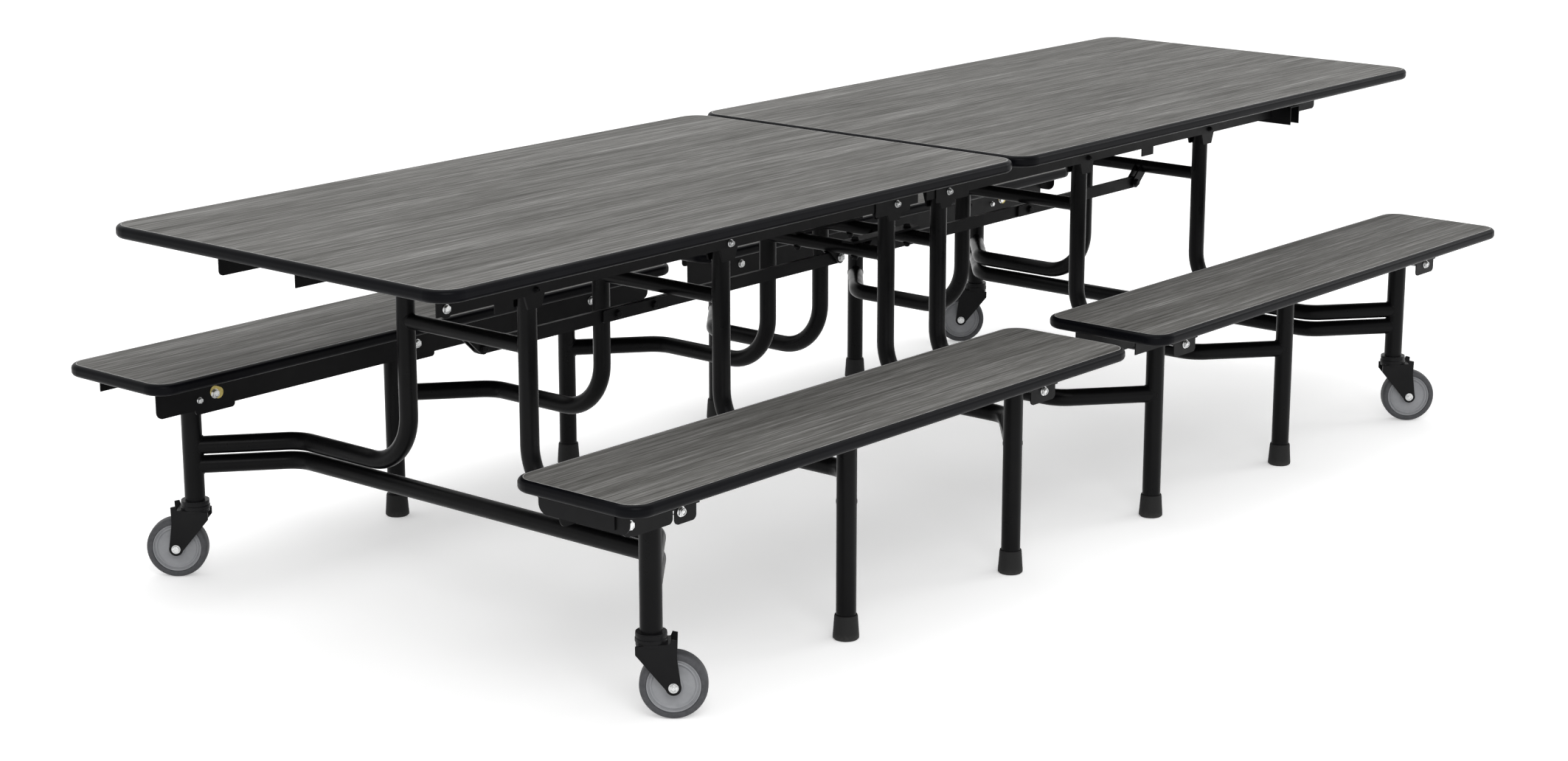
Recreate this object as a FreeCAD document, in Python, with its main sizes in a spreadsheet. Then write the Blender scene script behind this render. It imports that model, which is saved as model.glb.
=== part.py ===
"""Folding cafeteria table with attached benches.

Two half tops meet at the middle of the table.  Six tubular cross frames
stand under them: a caster frame at each end, a footed frame under the
middle of each half, and a centre carriage made of two frames tied together.
Tops, benches and link bars are all hinged to the frames at equal spacings,
so each half folds as a set of parallelograms: the centre rises, the caster
frames roll towards each other and every frame stays upright.

Frame of the part: +X along the table, +Y across it, +Z up, origin on the
floor under the middle of the table.  Millimetres.
"""
import FreeCAD
import Part
import Sketcher
import math
import os

from FreeCAD import Vector, Rotation, Placement

doc = FreeCAD.newDocument("FoldingTable")
sheet = doc.addObject("Spreadsheet::Sheet", "Sheet")

# Driving dimensions: name, value, what it is.
DIMENSIONS = [
    ("top_height", 737, "floor to laminate of the table top"),
    ("top_half_length", 1520, "length of one half top over its edge band"),
    ("top_width", 838, "width of the top over its edge band"),
    ("top_gap", 8, "gap between the two half tops"),
    ("top_thickness", 22, "board and band thickness of the top"),
    ("top_corner", 48, "outer corner radius of the top"),
    ("bench_height", 422, "floor to laminate of the benches"),
    ("bench_length", 1366, "length of one bench over its edge band"),
    ("bench_width", 280, "width of a bench over its edge band"),
    ("bench_centre", 575, "table centre line to bench centre line"),
    ("bench_gap", 96, "gap between two benches in line"),
    ("bench_thickness", 22, "board and band thickness of a bench"),
    ("bench_corner", 42, "outer corner radius of a bench"),
    ("edge_bulge", 9, "how far the edge band stands out from the board"),
    ("edge_round", 8.4, "rounding of the band's outer edges"),
    ("outer_post_left", 1079, "table centre to the left caster frame's posts"),
    ("outer_post_right", 1047, "table centre to the right caster frame's posts"),
    ("middle_post", 575, "table centre to the posts of a middle frame"),
    ("inner_post", 84, "table centre to the posts of a centre frame"),
    ("leg_offset", 154, "how far legs stand outboard of their posts"),
    ("post_spread", 153, "table centre line to a post"),
    ("leg_spread", 577.5, "table centre line to a leg"),
    ("tube_dia", 34, "outside diameter of a post's tube"),
    ("leg_dia", 36, "outside diameter of a footed leg"),
    ("tube_wall", 2, "wall of every tube"),
    ("caster_leg_dia", 38, "outside diameter of a caster leg"),
    ("stretcher_dia", 28, "outside diameter of a stretcher"),
    ("stretcher_drop", 209, "laminate of the top down to the stretchers"),
    ("hoop_height", 252, "floor to the centre of a post tube's run"),
    ("cross_height", 215, "floor to the centre of the low cross tube"),
    ("hoop_bend", 100, "centre line radius of the post bend"),
    ("plan_bend", 60, "centre line radius of the bend towards the leg"),
    ("turn_out", 450, "table centre line to the bend towards the leg"),
    ("pivot_drop", 105, "top of the laminate down to the hinge line"),
    ("post_over_pivot", 20, "post above the hinge line"),
    ("cheek_thick", 3, "thickness of a post's hinge cheeks"),
    ("cheek_drop", 34, "hinge cheek below the hinge line"),
    ("cheek_flare", 12, "how far a cheek flares past the post"),
    ("pin_dia", 10, "hinge pin diameter"),
    ("pin_head_dia", 19, "hinge pin head diameter"),
    ("pin_head_thick", 6, "hinge pin head thickness"),
    ("fit_gap", 0.1, "clearance on a running fit, on the diameter"),
    ("bench_pivot_drop", 58, "bench laminate down to the bench's hinge line"),
    ("leg_top_drop", 39, "bench laminate down to the top end of a leg"),
    ("pin_shoulder_dia", 17, "spacer between a bench's plates and its leg"),
    ("sheet_thick", 2.5, "thickness of rails and channels"),
    ("rail_web_inside", 174, "table centre line to the inside of a rail"),
    ("rail_drop", 114, "laminate down to the lower edge of a rail"),
    ("rail_flange", 38, "width of a rail's top flange"),
    ("rail_start", 14, "table centre to the inner end of a rail"),
    ("rail_end", 1312, "table centre to the outer end of a full rail"),
    ("tail_end", 1477, "table centre to the outer end of a rail's tail"),
    ("tail_drop_left", 65, "laminate down to the lower edge of a left tail"),
    ("tail_drop_right", 87, "laminate down to the notch of a right tail over the release bar"),
    ("toe_start", 1378, "table centre to the deep end of a right tail"),
    ("toe_end", 1500, "table centre to the outer end of a right tail"),
    ("tail_round", 9, "corner radius of a tail's lower edge"),
    ("tab_radius", 16, "corner radius of the tab at a rail's end"),
    ("tab_inset", 22, "rail end to the bolt of its tab"),
    ("tab_drop", 102, "laminate down to the bolt of a rail's tab"),
    ("stop_place", 77, "outer post out to the stop plate of the rail with a tab"),
    ("stop_place_inner", 246, "outer post in to the stop plate of a rail with a tail"),
    ("stop_width", 44, "width of the stop plate on a rail"),
    ("stop_drop", 131, "laminate down to the lower edge of the stop plate"),
    ("tie_depth", 24, "depth of a cross tie under the top"),
    ("tie_width", 40, "width of a cross tie under the top"),
    ("tie_outer", 1240, "table centre to the cross tie"),
    ("grip_bar_start", 1330, "table centre to the release bar"),
    ("grip_bar_width", 38, "width of the release bar"),
    ("grip_bar_depth", 42, "depth of the release bar"),
    ("grip_bar_length", 430, "length of the release bar"),
    ("channel_spread", 140, "width of a bench channel"),
    ("deep_flange_drop", 82, "bench laminate down to the edge of the deep flange"),
    ("lip_drop", 48, "bench laminate down to the edge of the shallow flange"),
    ("channel_end_inset", 30, "bench's outer end to the channel"),
    ("channel_start_inset", 16, "bench's inner end to the channel"),
    ("flange_end_inset", 47, "bench's outer end to the deep flange"),
    ("flange_round", 14, "corner radius of the deep flange's ends"),
    ("hinge_lug_drop", 91, "bench laminate down to the edge of a hinge lug"),
    ("flange_lug_width", 92, "width of a hinge lug on the deep flange"),
    ("end_plate_width", 198, "width of the plate across a channel's end"),
    ("end_plate_drop", 59, "bench laminate down to the edge of the end plate"),
    ("end_plate_round", 18, "corner radius of the end plate"),
    ("bracket_start", -154, "leg to the left end of its bracket"),
    ("short_bracket_start", -45, "leg to the left end of a short bracket"),
    ("bracket_end", 45, "leg to the right end of its bracket"),
    ("bracket_drop", 79, "bench laminate down to the edge of a bracket"),
    ("bracket_round", 9, "corner radius of a bracket's lugs"),
    ("bracket_bolt", -120, "leg to the second bolt of its bracket"),
    ("bracket_bolt_drop", 53, "bench laminate down to the second bolt of a bracket"),
    ("link_pivot_inset", 35, "link bar pin inboard of its stretcher"),
    ("link_pivot_drop", 32, "link bar pin below its stretcher"),
    ("link_depth", 25, "depth of a link bar"),
    ("link_thick", 8, "thickness of a link bar"),
    ("link_pin_dia", 8, "link pin diameter"),
    ("link_pin_head", 15, "link pin head diameter"),
    ("link_slot_place", 700, "table centre to the slot in a link bar"),
    ("link_slot_length", 26, "length of the slot in a link bar"),
    ("clevis_gap", 11, "gap between the two plates of a clevis"),
    ("clevis_plate", 4, "thickness of a clevis plate"),
    ("tie_plate_width", 30, "width of the plates that join the centre frames"),
    ("tie_plate_thick", 5, "thickness of the plates that join the centre frames"),
    ("tie_plate_reach", 107, "table centre to the end of a tie plate"),
    ("tie_plate_place", 74, "table centre line to a tie plate"),
    ("tie_bolt_dia", 8, "diameter of a tie plate's bolts"),
    ("tie_bolt_head", 15, "head diameter of a tie plate's bolts"),
    ("foot_height", 45, "height of a rubber foot"),
    ("foot_floor", 5, "rubber under the end of the leg"),
    ("foot_top_dia", 42, "diameter of a foot at its top"),
    ("foot_base_dia", 47, "diameter of a foot near the floor"),
    ("wheel_dia", 114, "caster wheel diameter"),
    ("wheel_width", 32, "caster tread width"),
    ("hub_dia", 90, "diameter of the wheel centre"),
    ("hub_boss_dia", 30, "diameter of the wheel's boss"),
    ("axle_dia", 10, "caster axle diameter"),
    ("axle_head_dia", 17, "caster axle head diameter"),
    ("trail", 36, "swivel axis to axle"),
    ("fork_gap", 40, "gap between the fork plates"),
    ("fork_plate", 3.5, "thickness of the fork plates"),
    ("fork_crown", 134, "floor to the top of the fork crown"),
    ("collar_dia", 52, "diameter of the swivel collar"),
    ("collar_top", 148, "floor to the top of the swivel collar"),
    ("race_dia", 36, "diameter of the ring above the collar"),
    ("caster_leg_end", 152, "floor to the lower end of a caster leg"),
    ("swivel_gap", 0.4, "gap between the swivel ring and the leg"),
    ("stem_dia", 16, "swivel stem diameter"),
    ("stem_top", 196, "floor to the top of the swivel stem"),
    ("socket_top", 204, "floor to the top of the socket in the leg"),
    ("near_swivel", -49, "heading of the near casters' trail, degrees"),
    ("far_swivel", 131, "heading of the far casters' trail, degrees"),
]

for row, (alias, value, note) in enumerate(DIMENSIONS, start=1):
    sheet.set("A%d" % row, note)
    sheet.set("B%d" % row, str(value))
    sheet.setAlias("B%d" % row, alias)
doc.recompute()

SUBPARTS = []


def dim(name):
    """Value of one driving dimension."""
    return float(sheet.get(name))


def top_level(drop):
    """Height of a line that is given as a drop below the top's laminate."""
    return dim("top_height") - dim(drop)


def bench_level(drop):
    """Height of a line that is given as a drop below a bench's laminate."""
    return dim("bench_height") - dim(drop)


def keep(obj, label):
    """Name a finished sub-part and put it on the list to be written."""
    obj.Label = label
    SUBPARTS.append(obj)
    return obj


def feature(shape, label):
    """A sub-part made with Part's own functions."""
    obj = doc.addObject("Part::Feature", label)
    obj.Shape = shape
    return keep(obj, label)


# ---------------------------------------------------------------- helpers

def origin_plane(body, role):
    """One of a body's own origin planes."""
    for item in body.Origin.OriginFeatures:
        if item.Role == role:
            return item
    raise ValueError(role)


def new_sketch(body, name, role, offset=None):
    """Sketch on one of the body's origin planes, lifted by an expression."""
    sketch = body.newObject("Sketcher::SketchObject", name)
    sketch.AttachmentSupport = [(origin_plane(body, role), "")]
    sketch.MapMode = "FlatFace"
    if offset:
        sketch.setExpression("AttachmentOffset.Base.z", offset)
    return sketch


def rectangle(sketch, x_low, x_high, y_low, y_high):
    """Closed rectangle whose four sides follow the given expressions."""
    corners = [(0, 0), (10, 0), (10, 10), (0, 10)]
    first = sketch.GeometryCount
    for k in range(4):
        a = Vector(corners[k][0], corners[k][1], 0)
        b = Vector(corners[(k + 1) % 4][0], corners[(k + 1) % 4][1], 0)
        sketch.addGeometry(Part.LineSegment(a, b), False)
    for k in range(4):
        nxt = first + (k + 1) % 4
        sketch.addConstraint(Sketcher.Constraint("Coincident", first + k, 2, nxt, 1))
    for k, kind in enumerate(("Horizontal", "Vertical", "Horizontal", "Vertical")):
        sketch.addConstraint(Sketcher.Constraint(kind, first + k))
    for kind, vertex, start, text in (
            ("DistanceX", 1, 0.0, x_low), ("DistanceY", 1, 0.0, y_low),
            ("DistanceX", 2, 10.0, x_high), ("DistanceY", 3, 10.0, y_high)):
        line = {"DistanceX1": first, "DistanceY1": first,
                "DistanceX2": first + 1, "DistanceY3": first + 2}[kind + str(vertex)]
        number = sketch.addConstraint(Sketcher.Constraint(kind, -1, 1, line, 1, start))
        sketch.setExpression("Constraints[%d]" % number, text)


def circle(sketch, x_text, y_text, radius_text):
    """Circle whose centre and radius follow the given expressions."""
    number = sketch.addGeometry(Part.Circle(Vector(5, 5, 0), Vector(0, 0, 1), 3), False)
    for kind, text in (("DistanceX", x_text), ("DistanceY", y_text)):
        row = sketch.addConstraint(Sketcher.Constraint(kind, -1, 1, number, 3, 5.0))
        sketch.setExpression("Constraints[%d]" % row, text)
    row = sketch.addConstraint(Sketcher.Constraint("Radius", number, 3.0))
    sketch.setExpression("Constraints[%d]" % row, radius_text)


def pad(body, name, sketch, length, reverse=False):
    """Pad of a sketch by an expression."""
    item = body.newObject("PartDesign::Pad", name)
    item.Profile = sketch
    item.setExpression("Length", length)
    item.Reversed = reverse
    return item


def pocket_through(body, name, sketch):
    """Pocket through everything, both ways from its sketch."""
    item = body.newObject("PartDesign::Pocket", name)
    item.Profile = sketch
    item.Type = 1
    item.Midplane = True
    return item


def rounded_rectangle(sketch, x_low, x_high, y_low, y_high, radius):
    """Closed rectangle with four equal round corners, sized by expressions."""
    x0, x1, y0, y1, r0 = [float(sketch.evalExpression(text))
                          for text in (x_low, x_high, y_low, y_high, radius)]
    sides = [((x0 + r0, y0), (x1 - r0, y0)), ((x1, y0 + r0), (x1, y1 - r0)),
             ((x1 - r0, y1), (x0 + r0, y1)), ((x0, y1 - r0), (x0, y0 + r0))]
    centres = [(x1 - r0, y0 + r0), (x1 - r0, y1 - r0),
               (x0 + r0, y1 - r0), (x0 + r0, y0 + r0)]
    first = sketch.GeometryCount
    for k in range(4):
        start, end = sides[k]
        sketch.addGeometry(Part.LineSegment(Vector(*start), Vector(*end)), False)
        round_corner = Part.Circle(Vector(*centres[k]), Vector(0, 0, 1), r0)
        turn = (k - 1) * math.pi / 2
        sketch.addGeometry(Part.ArcOfCircle(round_corner, turn, turn + math.pi / 2), False)
    for k in range(4):
        line = first + 2 * k
        following = first + (2 * k + 2) % 8
        kind = "Horizontal" if k % 2 == 0 else "Vertical"
        sketch.addConstraint(Sketcher.Constraint(kind, line))
        sketch.addConstraint(Sketcher.Constraint("Tangent", line, 2, line + 1, 1))
        sketch.addConstraint(Sketcher.Constraint("Tangent", line + 1, 2, following, 1))
    for k in range(1, 4):
        sketch.addConstraint(Sketcher.Constraint("Equal", first + 1, first + 2 * k + 1))
    row = sketch.addConstraint(Sketcher.Constraint("Radius", first + 1, r0))
    sketch.setExpression("Constraints[%d]" % row, radius)
    for kind, line, value, text in (
            ("DistanceY", first, y0, y_low), ("DistanceX", first + 2, x1, x_high),
            ("DistanceY", first + 4, y1, y_high), ("DistanceX", first + 6, x0, x_low)):
        row = sketch.addConstraint(Sketcher.Constraint(kind, -1, 1, line, 1, value))
        sketch.setExpression("Constraints[%d]" % row, text)


def fillet(body, name, base, names, radius):
    """Fillet of named edges by an expression."""
    item = body.newObject("PartDesign::Fillet", name)
    item.Base = (base, names)
    item.setExpression("Radius", radius)
    return item


def bent_path(points, radii):
    """Wire of straight runs through points, corners rounded by tangent arcs."""
    edges = []
    start = points[0]
    for k in range(1, len(points) - 1):
        corner = points[k]
        back = (points[k - 1] - corner).normalize()
        ahead = (points[k + 1] - corner).normalize()
        half = back.getAngle(ahead) / 2.0
        reach = radii[k - 1] / math.tan(half)
        enter = corner + back * reach
        leave = corner + ahead * reach
        inward = (back + ahead).normalize()
        middle = corner + inward * (radii[k - 1] / math.sin(half) - radii[k - 1])
        edges.append(Part.makeLine(start, enter))
        edges.append(Part.Arc(enter, middle, leave).toShape())
        start = leave
    edges.append(Part.makeLine(start, points[-1]))
    return Part.Wire(edges)


def rod(path, radius):
    """Round solid bar along a bent path."""
    head = path.Edges[0]
    start = head.Vertexes[0].Point
    along = head.tangentAt(head.FirstParameter)
    ring = Part.Wire([Part.makeCircle(radius, start, along)])
    return path.makePipeShell([ring], True, False)


def bar(start, end, radius):
    """Round solid bar between two points."""
    along = end - start
    return Part.makeCylinder(radius, along.Length, start, along)


def block(x_low, x_high, y_low, y_high, z_low, z_high):
    """Box between two corners."""
    size = (x_high - x_low, y_high - y_low, z_high - z_low)
    return Part.makeBox(size[0], size[1], size[2], Vector(x_low, y_low, z_low))


def plate_xz(outline, y_low, y_high):
    """Flat plate standing along X, from its outline in x and z."""
    points = [Vector(x, y_low, z) for x, z in outline]
    face = Part.Face(Part.makePolygon(points + points[:1]))
    return face.extrude(Vector(0, y_high - y_low, 0))


# ------------------------------------------------------ boards and bands

def board(label, length, width, thick, height, x_start, y_centre, corner):
    """Laminated board inside its edge band, one rounded rectangle."""
    body = doc.addObject("PartDesign::Body", label)
    low = "Sheet.edge_bulge"
    sketch = new_sketch(body, label + "_outline", "XY_Plane")
    rounded_rectangle(sketch, low, "%s - %s" % (length, low),
                      "-%s / 2 + %s" % (width, low), "%s / 2 - %s" % (width, low),
                      "%s - %s" % (corner, low))
    pad(body, label + "_slab", sketch, thick)
    body.setExpression("Placement.Base.x", x_start)
    body.setExpression("Placement.Base.y", y_centre)
    body.setExpression("Placement.Base.z", "%s - %s" % (height, thick))
    return keep(body, label)


def edge_band(label, length, width, thick, height, x_start, y_centre, corner):
    """Moulded edge band that runs right round a board."""
    body = doc.addObject("PartDesign::Body", label)
    low = "Sheet.edge_bulge"
    outer = new_sketch(body, label + "_outline", "XY_Plane")
    rounded_rectangle(outer, "0", length, "-%s / 2" % width, "%s / 2" % width, corner)
    ring = pad(body, label + "_ring", outer, thick)
    doc.recompute()
    names = []
    for number, edge in enumerate(ring.Shape.Edges, start=1):
        heights = [vertex.Point.z for vertex in edge.Vertexes]
        if max(heights) - min(heights) < 0.01:
            names.append("Edge%d" % number)
    nose = fillet(body, label + "_nose", ring, names, "Sheet.edge_round")
    doc.recompute()
    solid_volume = nose.Shape.Volume
    inner = new_sketch(body, label + "_inside", "XY_Plane")
    rounded_rectangle(inner, low, "%s - %s" % (length, low),
                      "-%s / 2 + %s" % (width, low), "%s / 2 - %s" % (width, low),
                      "%s - %s" % (corner, low))
    opening = pocket_through(body, label + "_opening", inner)
    body.setExpression("Placement.Base.x", x_start)
    body.setExpression("Placement.Base.y", y_centre)
    body.setExpression("Placement.Base.z", "%s - %s" % (height, thick))
    doc.recompute()
    if opening.Shape.Volume >= 0.2 * solid_volume:
        raise ValueError("band opening cut too little")
    return keep(body, label)


TOP = ("Sheet.top_half_length", "Sheet.top_width", "Sheet.top_thickness",
       "Sheet.top_height")
BENCH = ("Sheet.bench_length", "Sheet.bench_width", "Sheet.bench_thickness",
         "Sheet.bench_height")
SIDES = (("left", -1), ("right", 1))
ROWS = (("near", -1), ("far", 1))

for side, s in SIDES:
    if s < 0:
        start = "-Sheet.top_gap / 2 - Sheet.top_half_length"
        bench_start = "-Sheet.bench_gap / 2 - Sheet.bench_length"
    else:
        start = "Sheet.top_gap / 2"
        bench_start = "Sheet.bench_gap / 2"
    board("top_board_" + side, *TOP, start, "0", "Sheet.top_corner")
    edge_band("top_band_" + side, *TOP, start, "0", "Sheet.top_corner")
    for row, r in ROWS:
        place = "%d * Sheet.bench_centre" % r
        name = "%s_%s" % (side, row)
        board("bench_board_" + name, *BENCH, bench_start, place, "Sheet.bench_corner")
        edge_band("bench_band_" + name, *BENCH, bench_start, place, "Sheet.bench_corner")


# ---------------------------------------------------------- tube frames

def hinge_cheeks(y_post):
    """Pair of flared cheeks that carry the top's hinge pin on one post."""
    radius = dim("tube_dia") / 2
    thick = dim("cheek_thick")
    low = top_level("pivot_drop") - dim("cheek_drop")
    high = top_level("pivot_drop") + dim("post_over_pivot")
    flare = radius + dim("cheek_flare")
    outline = [(1 - radius, low), (radius - 1, low), (flare, high - 16),
               (flare, high), (-flare, high), (-flare, high - 16)]
    cheeks = []
    for side in (-1, 1):
        inner = y_post + side * (radius - 1.5)
        outer = y_post + side * (radius + thick)
        cheeks.append(plate_xz(outline, min(inner, outer), max(inner, outer)))
    return cheeks


def clevis():
    """Pair of plates that carry the link bar's pin under a stretcher."""
    x_pin = dim("link_pivot_inset")
    z_bar = top_level("stretcher_drop")
    z_pin = z_bar - dim("link_pivot_drop")
    end = 12.0
    plates = []
    for side in (-1, 1):
        near = side * dim("clevis_gap") / 2
        away = near + side * dim("clevis_plate")
        y_low, y_high = min(near, away), max(near, away)
        outline = [(-12, z_bar - 4), (10, z_bar + 8),
                   (x_pin + end * 0.75, z_pin + end * 0.66),
                   (x_pin - end * 0.6, z_pin - end * 0.8)]
        arm = plate_xz(outline, y_low, y_high)
        nose = Part.makeCylinder(end, y_high - y_low, Vector(x_pin, y_low, z_pin),
                                 Vector(0, 1, 0))
        plates.append(arm.fuse(nose))
    return plates


# Every frame is built with its posts over the origin and its legs towards -X.

def tube_set(casters, grow):
    """Solid bars of one cross frame; grow is how much smaller their radius is."""
    x_leg = -dim("leg_offset")
    tube = dim("tube_dia") / 2 - grow
    leg = (dim("caster_leg_dia") if casters else dim("leg_dia")) / 2 - grow
    top = top_level("pivot_drop") + dim("post_over_pivot")
    leg_foot = dim("socket_top") if casters and grow else dim("foot_floor")
    if casters and not grow:
        leg_foot = dim("caster_leg_end")
    over = 5.0 if grow else 0.0
    low = leg_foot - (0.0 if casters else over)
    bars = []
    for r in (-1, 1):
        y_post = r * dim("post_spread")
        y_leg = r * dim("leg_spread")
        z_run = dim("hoop_height")
        path = bent_path([Vector(0, y_post, top + over), Vector(0, y_post, z_run),
                          Vector(0, r * dim("turn_out"), z_run),
                          Vector(x_leg, y_leg, z_run)],
                         [dim("hoop_bend"), dim("plan_bend")])
        bars.append(rod(path, tube))
        bars.append(bar(Vector(x_leg, y_leg, low),
                        Vector(x_leg, y_leg, bench_level("leg_top_drop") + over), leg))
    z_bar = top_level("stretcher_drop")
    bars.append(bar(Vector(0, -dim("post_spread"), z_bar),
                    Vector(0, dim("post_spread"), z_bar),
                    dim("stretcher_dia") / 2 - grow))
    if casters:
        z_low = dim("cross_height")
        path = bent_path([Vector(x_leg, -dim("leg_spread"), z_low),
                          Vector(0, -dim("turn_out"), z_low),
                          Vector(0, dim("turn_out"), z_low),
                          Vector(x_leg, dim("leg_spread"), z_low)],
                         [dim("plan_bend"), dim("plan_bend")])
        bars.append(rod(path, tube))
    return bars


def frame_holes(casters, linked):
    """Pin holes of one frame, and the swivel sockets of a caster frame."""
    pin = (dim("pin_dia") + dim("fit_gap")) / 2
    x_leg = -dim("leg_offset")
    holes = []
    for r in (-1, 1):
        y_post = r * dim("post_spread")
        y_leg = r * dim("leg_spread")
        z_pin = top_level("pivot_drop")
        holes.append(bar(Vector(0, y_post - 30, z_pin),
                         Vector(0, y_post + 30, z_pin), pin))
        z_pin = bench_level("bench_pivot_drop")
        holes.append(bar(Vector(x_leg, y_leg - 40, z_pin),
                         Vector(x_leg, y_leg + 40, z_pin), pin))
        if casters:
            stem = (dim("stem_dia") + dim("fit_gap")) / 2
            holes.append(bar(Vector(x_leg, y_leg, dim("caster_leg_end") - 5),
                             Vector(x_leg, y_leg, dim("socket_top") + 5), stem))
    if linked:
        x_pin = dim("link_pivot_inset")
        z_pin = top_level("stretcher_drop") - dim("link_pivot_drop")
        hole = (dim("link_pin_dia") + dim("fit_gap")) / 2
        holes.append(bar(Vector(x_pin, -30, z_pin), Vector(x_pin, 30, z_pin), hole))
    return holes[0].fuse(holes[1:])


def frame_shape(casters, linked):
    """One welded cross frame: tubes, hinge cheeks and clevis."""
    solids = tube_set(casters, 0.0)
    for r in (-1, 1):
        solids += hinge_cheeks(r * dim("post_spread"))
    if linked:
        solids += clevis()
    shape = solids[0].fuse(solids[1:])
    bores = tube_set(casters, dim("tube_wall"))
    shape = shape.cut(bores[0].fuse(bores[1:]))
    return shape.cut(frame_holes(casters, linked))


def tie_bolt_holes():
    """Holes down through a centre stretcher for the tie plates' bolts."""
    z_bar = top_level("stretcher_drop")
    holes = []
    for r in (-1, 1):
        y_bolt = r * dim("tie_plate_place")
        holes.append(bar(Vector(0, y_bolt, z_bar - 30), Vector(0, y_bolt, z_bar + 30),
                         dim("tie_bolt_dia") / 2))
    return holes[0].fuse(holes[1:])


# A right frame is the left one turned half round.
caster_frame = frame_shape(True, True)
middle_frame = frame_shape(False, False)
centre_frame = frame_shape(False, True).cut(tie_bolt_holes())


def post_place(post, s):
    """Place of a row of posts along the table, right of the middle positive."""
    if post == "outer_post":
        post = "outer_post_left" if s < 0 else "outer_post_right"
    return s * dim(post)


for kind, shape, post in (("caster_frame_", caster_frame, "outer_post"),
                          ("middle_frame_", middle_frame, "middle_post"),
                          ("centre_frame_", centre_frame, "inner_post")):
    for side, s in SIDES:
        turn = Rotation(Vector(0, 0, 1), 0 if s < 0 else 180)
        part = feature(shape, kind + side)
        part.Placement = Placement(Vector(post_place(post, s), 0, 0), turn)

# The two centre frames are bolted together by two flat plates.


def tie_plate(label, r):
    """Flat plate across the two centre stretchers, with a hole over each."""
    plate = doc.addObject("Part::Box", label + "_strip")
    for name, text in (
            ("Length", "2 * Sheet.tie_plate_reach"),
            ("Width", "Sheet.tie_plate_width"),
            ("Height", "Sheet.tie_plate_thick"),
            ("Placement.Base.x", "-Sheet.tie_plate_reach"),
            ("Placement.Base.y", "%d * Sheet.tie_plate_place - Sheet.tie_plate_width / 2"
             % r),
            ("Placement.Base.z", "(Sheet.top_height - Sheet.stretcher_drop) + Sheet.stretcher_dia / 2")):
        plate.setExpression(name, text)
    for side, s in SIDES:
        hole = doc.addObject("Part::Cylinder", "%s_hole_%s" % (label, side))
        hole.setExpression("Radius", "Sheet.tie_bolt_dia / 2")
        hole.setExpression("Height", "Sheet.tie_plate_thick + 10")
        hole.setExpression("Placement.Base.x", "%d * Sheet.inner_post" % s)
        hole.setExpression("Placement.Base.y", "%d * Sheet.tie_plate_place" % r)
        hole.setExpression("Placement.Base.z",
                           "(Sheet.top_height - Sheet.stretcher_drop) + Sheet.stretcher_dia / 2 - 5")
        drilled = doc.addObject("Part::Cut", "%s_drilled_%s" % (label, side))
        drilled.Base = plate
        drilled.Tool = hole
        plate = drilled
    return plate


plates = doc.addObject("Part::Compound", "tie_plates")
plates.Links = [tie_plate("tie_plate_" + row, r) for row, r in ROWS]
keep(plates, "tie_plates")


# ------------------------------------------------- rails under the tops

def rail_tail(body, label, span, s, level, web_face, towards_low):
    """Tail of a rail past its last hinge; a right one is notched for the release bar."""
    under = "(Sheet.top_height - Sheet.top_thickness)"
    tail_stop = "Sheet.tail_end" if s < 0 else "Sheet.toe_end"
    low_x, high_x = span("(Sheet.rail_end - 20)", tail_stop)
    tail = new_sketch(body, label + "_tail_outline", "XZ_Plane", web_face)
    rounded_rectangle(tail, low_x, high_x, level, under, "Sheet.tail_round")
    pad(body, label + "_tail", tail, "Sheet.sheet_thick", towards_low)
    low_x, high_x = span("(Sheet.rail_end - 20)", tail_stop)
    root = new_sketch(body, label + "_tail_root_outline", "XZ_Plane", web_face)
    rectangle(root, low_x, high_x, level + " + 2 * Sheet.tail_round", under)
    pad(body, label + "_tail_root", root, "Sheet.sheet_thick", towards_low)
    if s > 0:
        low_x, high_x = span("Sheet.toe_start", tail_stop)
        toe = new_sketch(body, label + "_toe_outline", "XZ_Plane", web_face)
        rounded_rectangle(toe, low_x, high_x, "(Sheet.top_height - Sheet.rail_drop)",
                          level + " + 3 * Sheet.tail_round", "Sheet.tail_round")
        pad(body, label + "_toe", toe, "Sheet.sheet_thick", towards_low)


def rail_tab(body, label, span, x_tab, tab_level, web_face, towards_low):
    """Round tab that hangs from the end of the rail and takes a bolt."""
    tab = new_sketch(body, label + "_tab_outline", "XZ_Plane", web_face)
    circle(tab, x_tab, tab_level, "Sheet.tab_radius")
    pad(body, label + "_tab", tab, "Sheet.sheet_thick", towards_low)
    ear = new_sketch(body, label + "_ear_outline", "XZ_Plane", web_face)
    low_x, high_x = span("(Sheet.rail_end - Sheet.tab_inset)", "Sheet.rail_end")
    rectangle(ear, low_x, high_x, tab_level + " - 6", tab_level + " + 10")
    pad(body, label + "_ear", ear, "Sheet.sheet_thick", towards_low)


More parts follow.
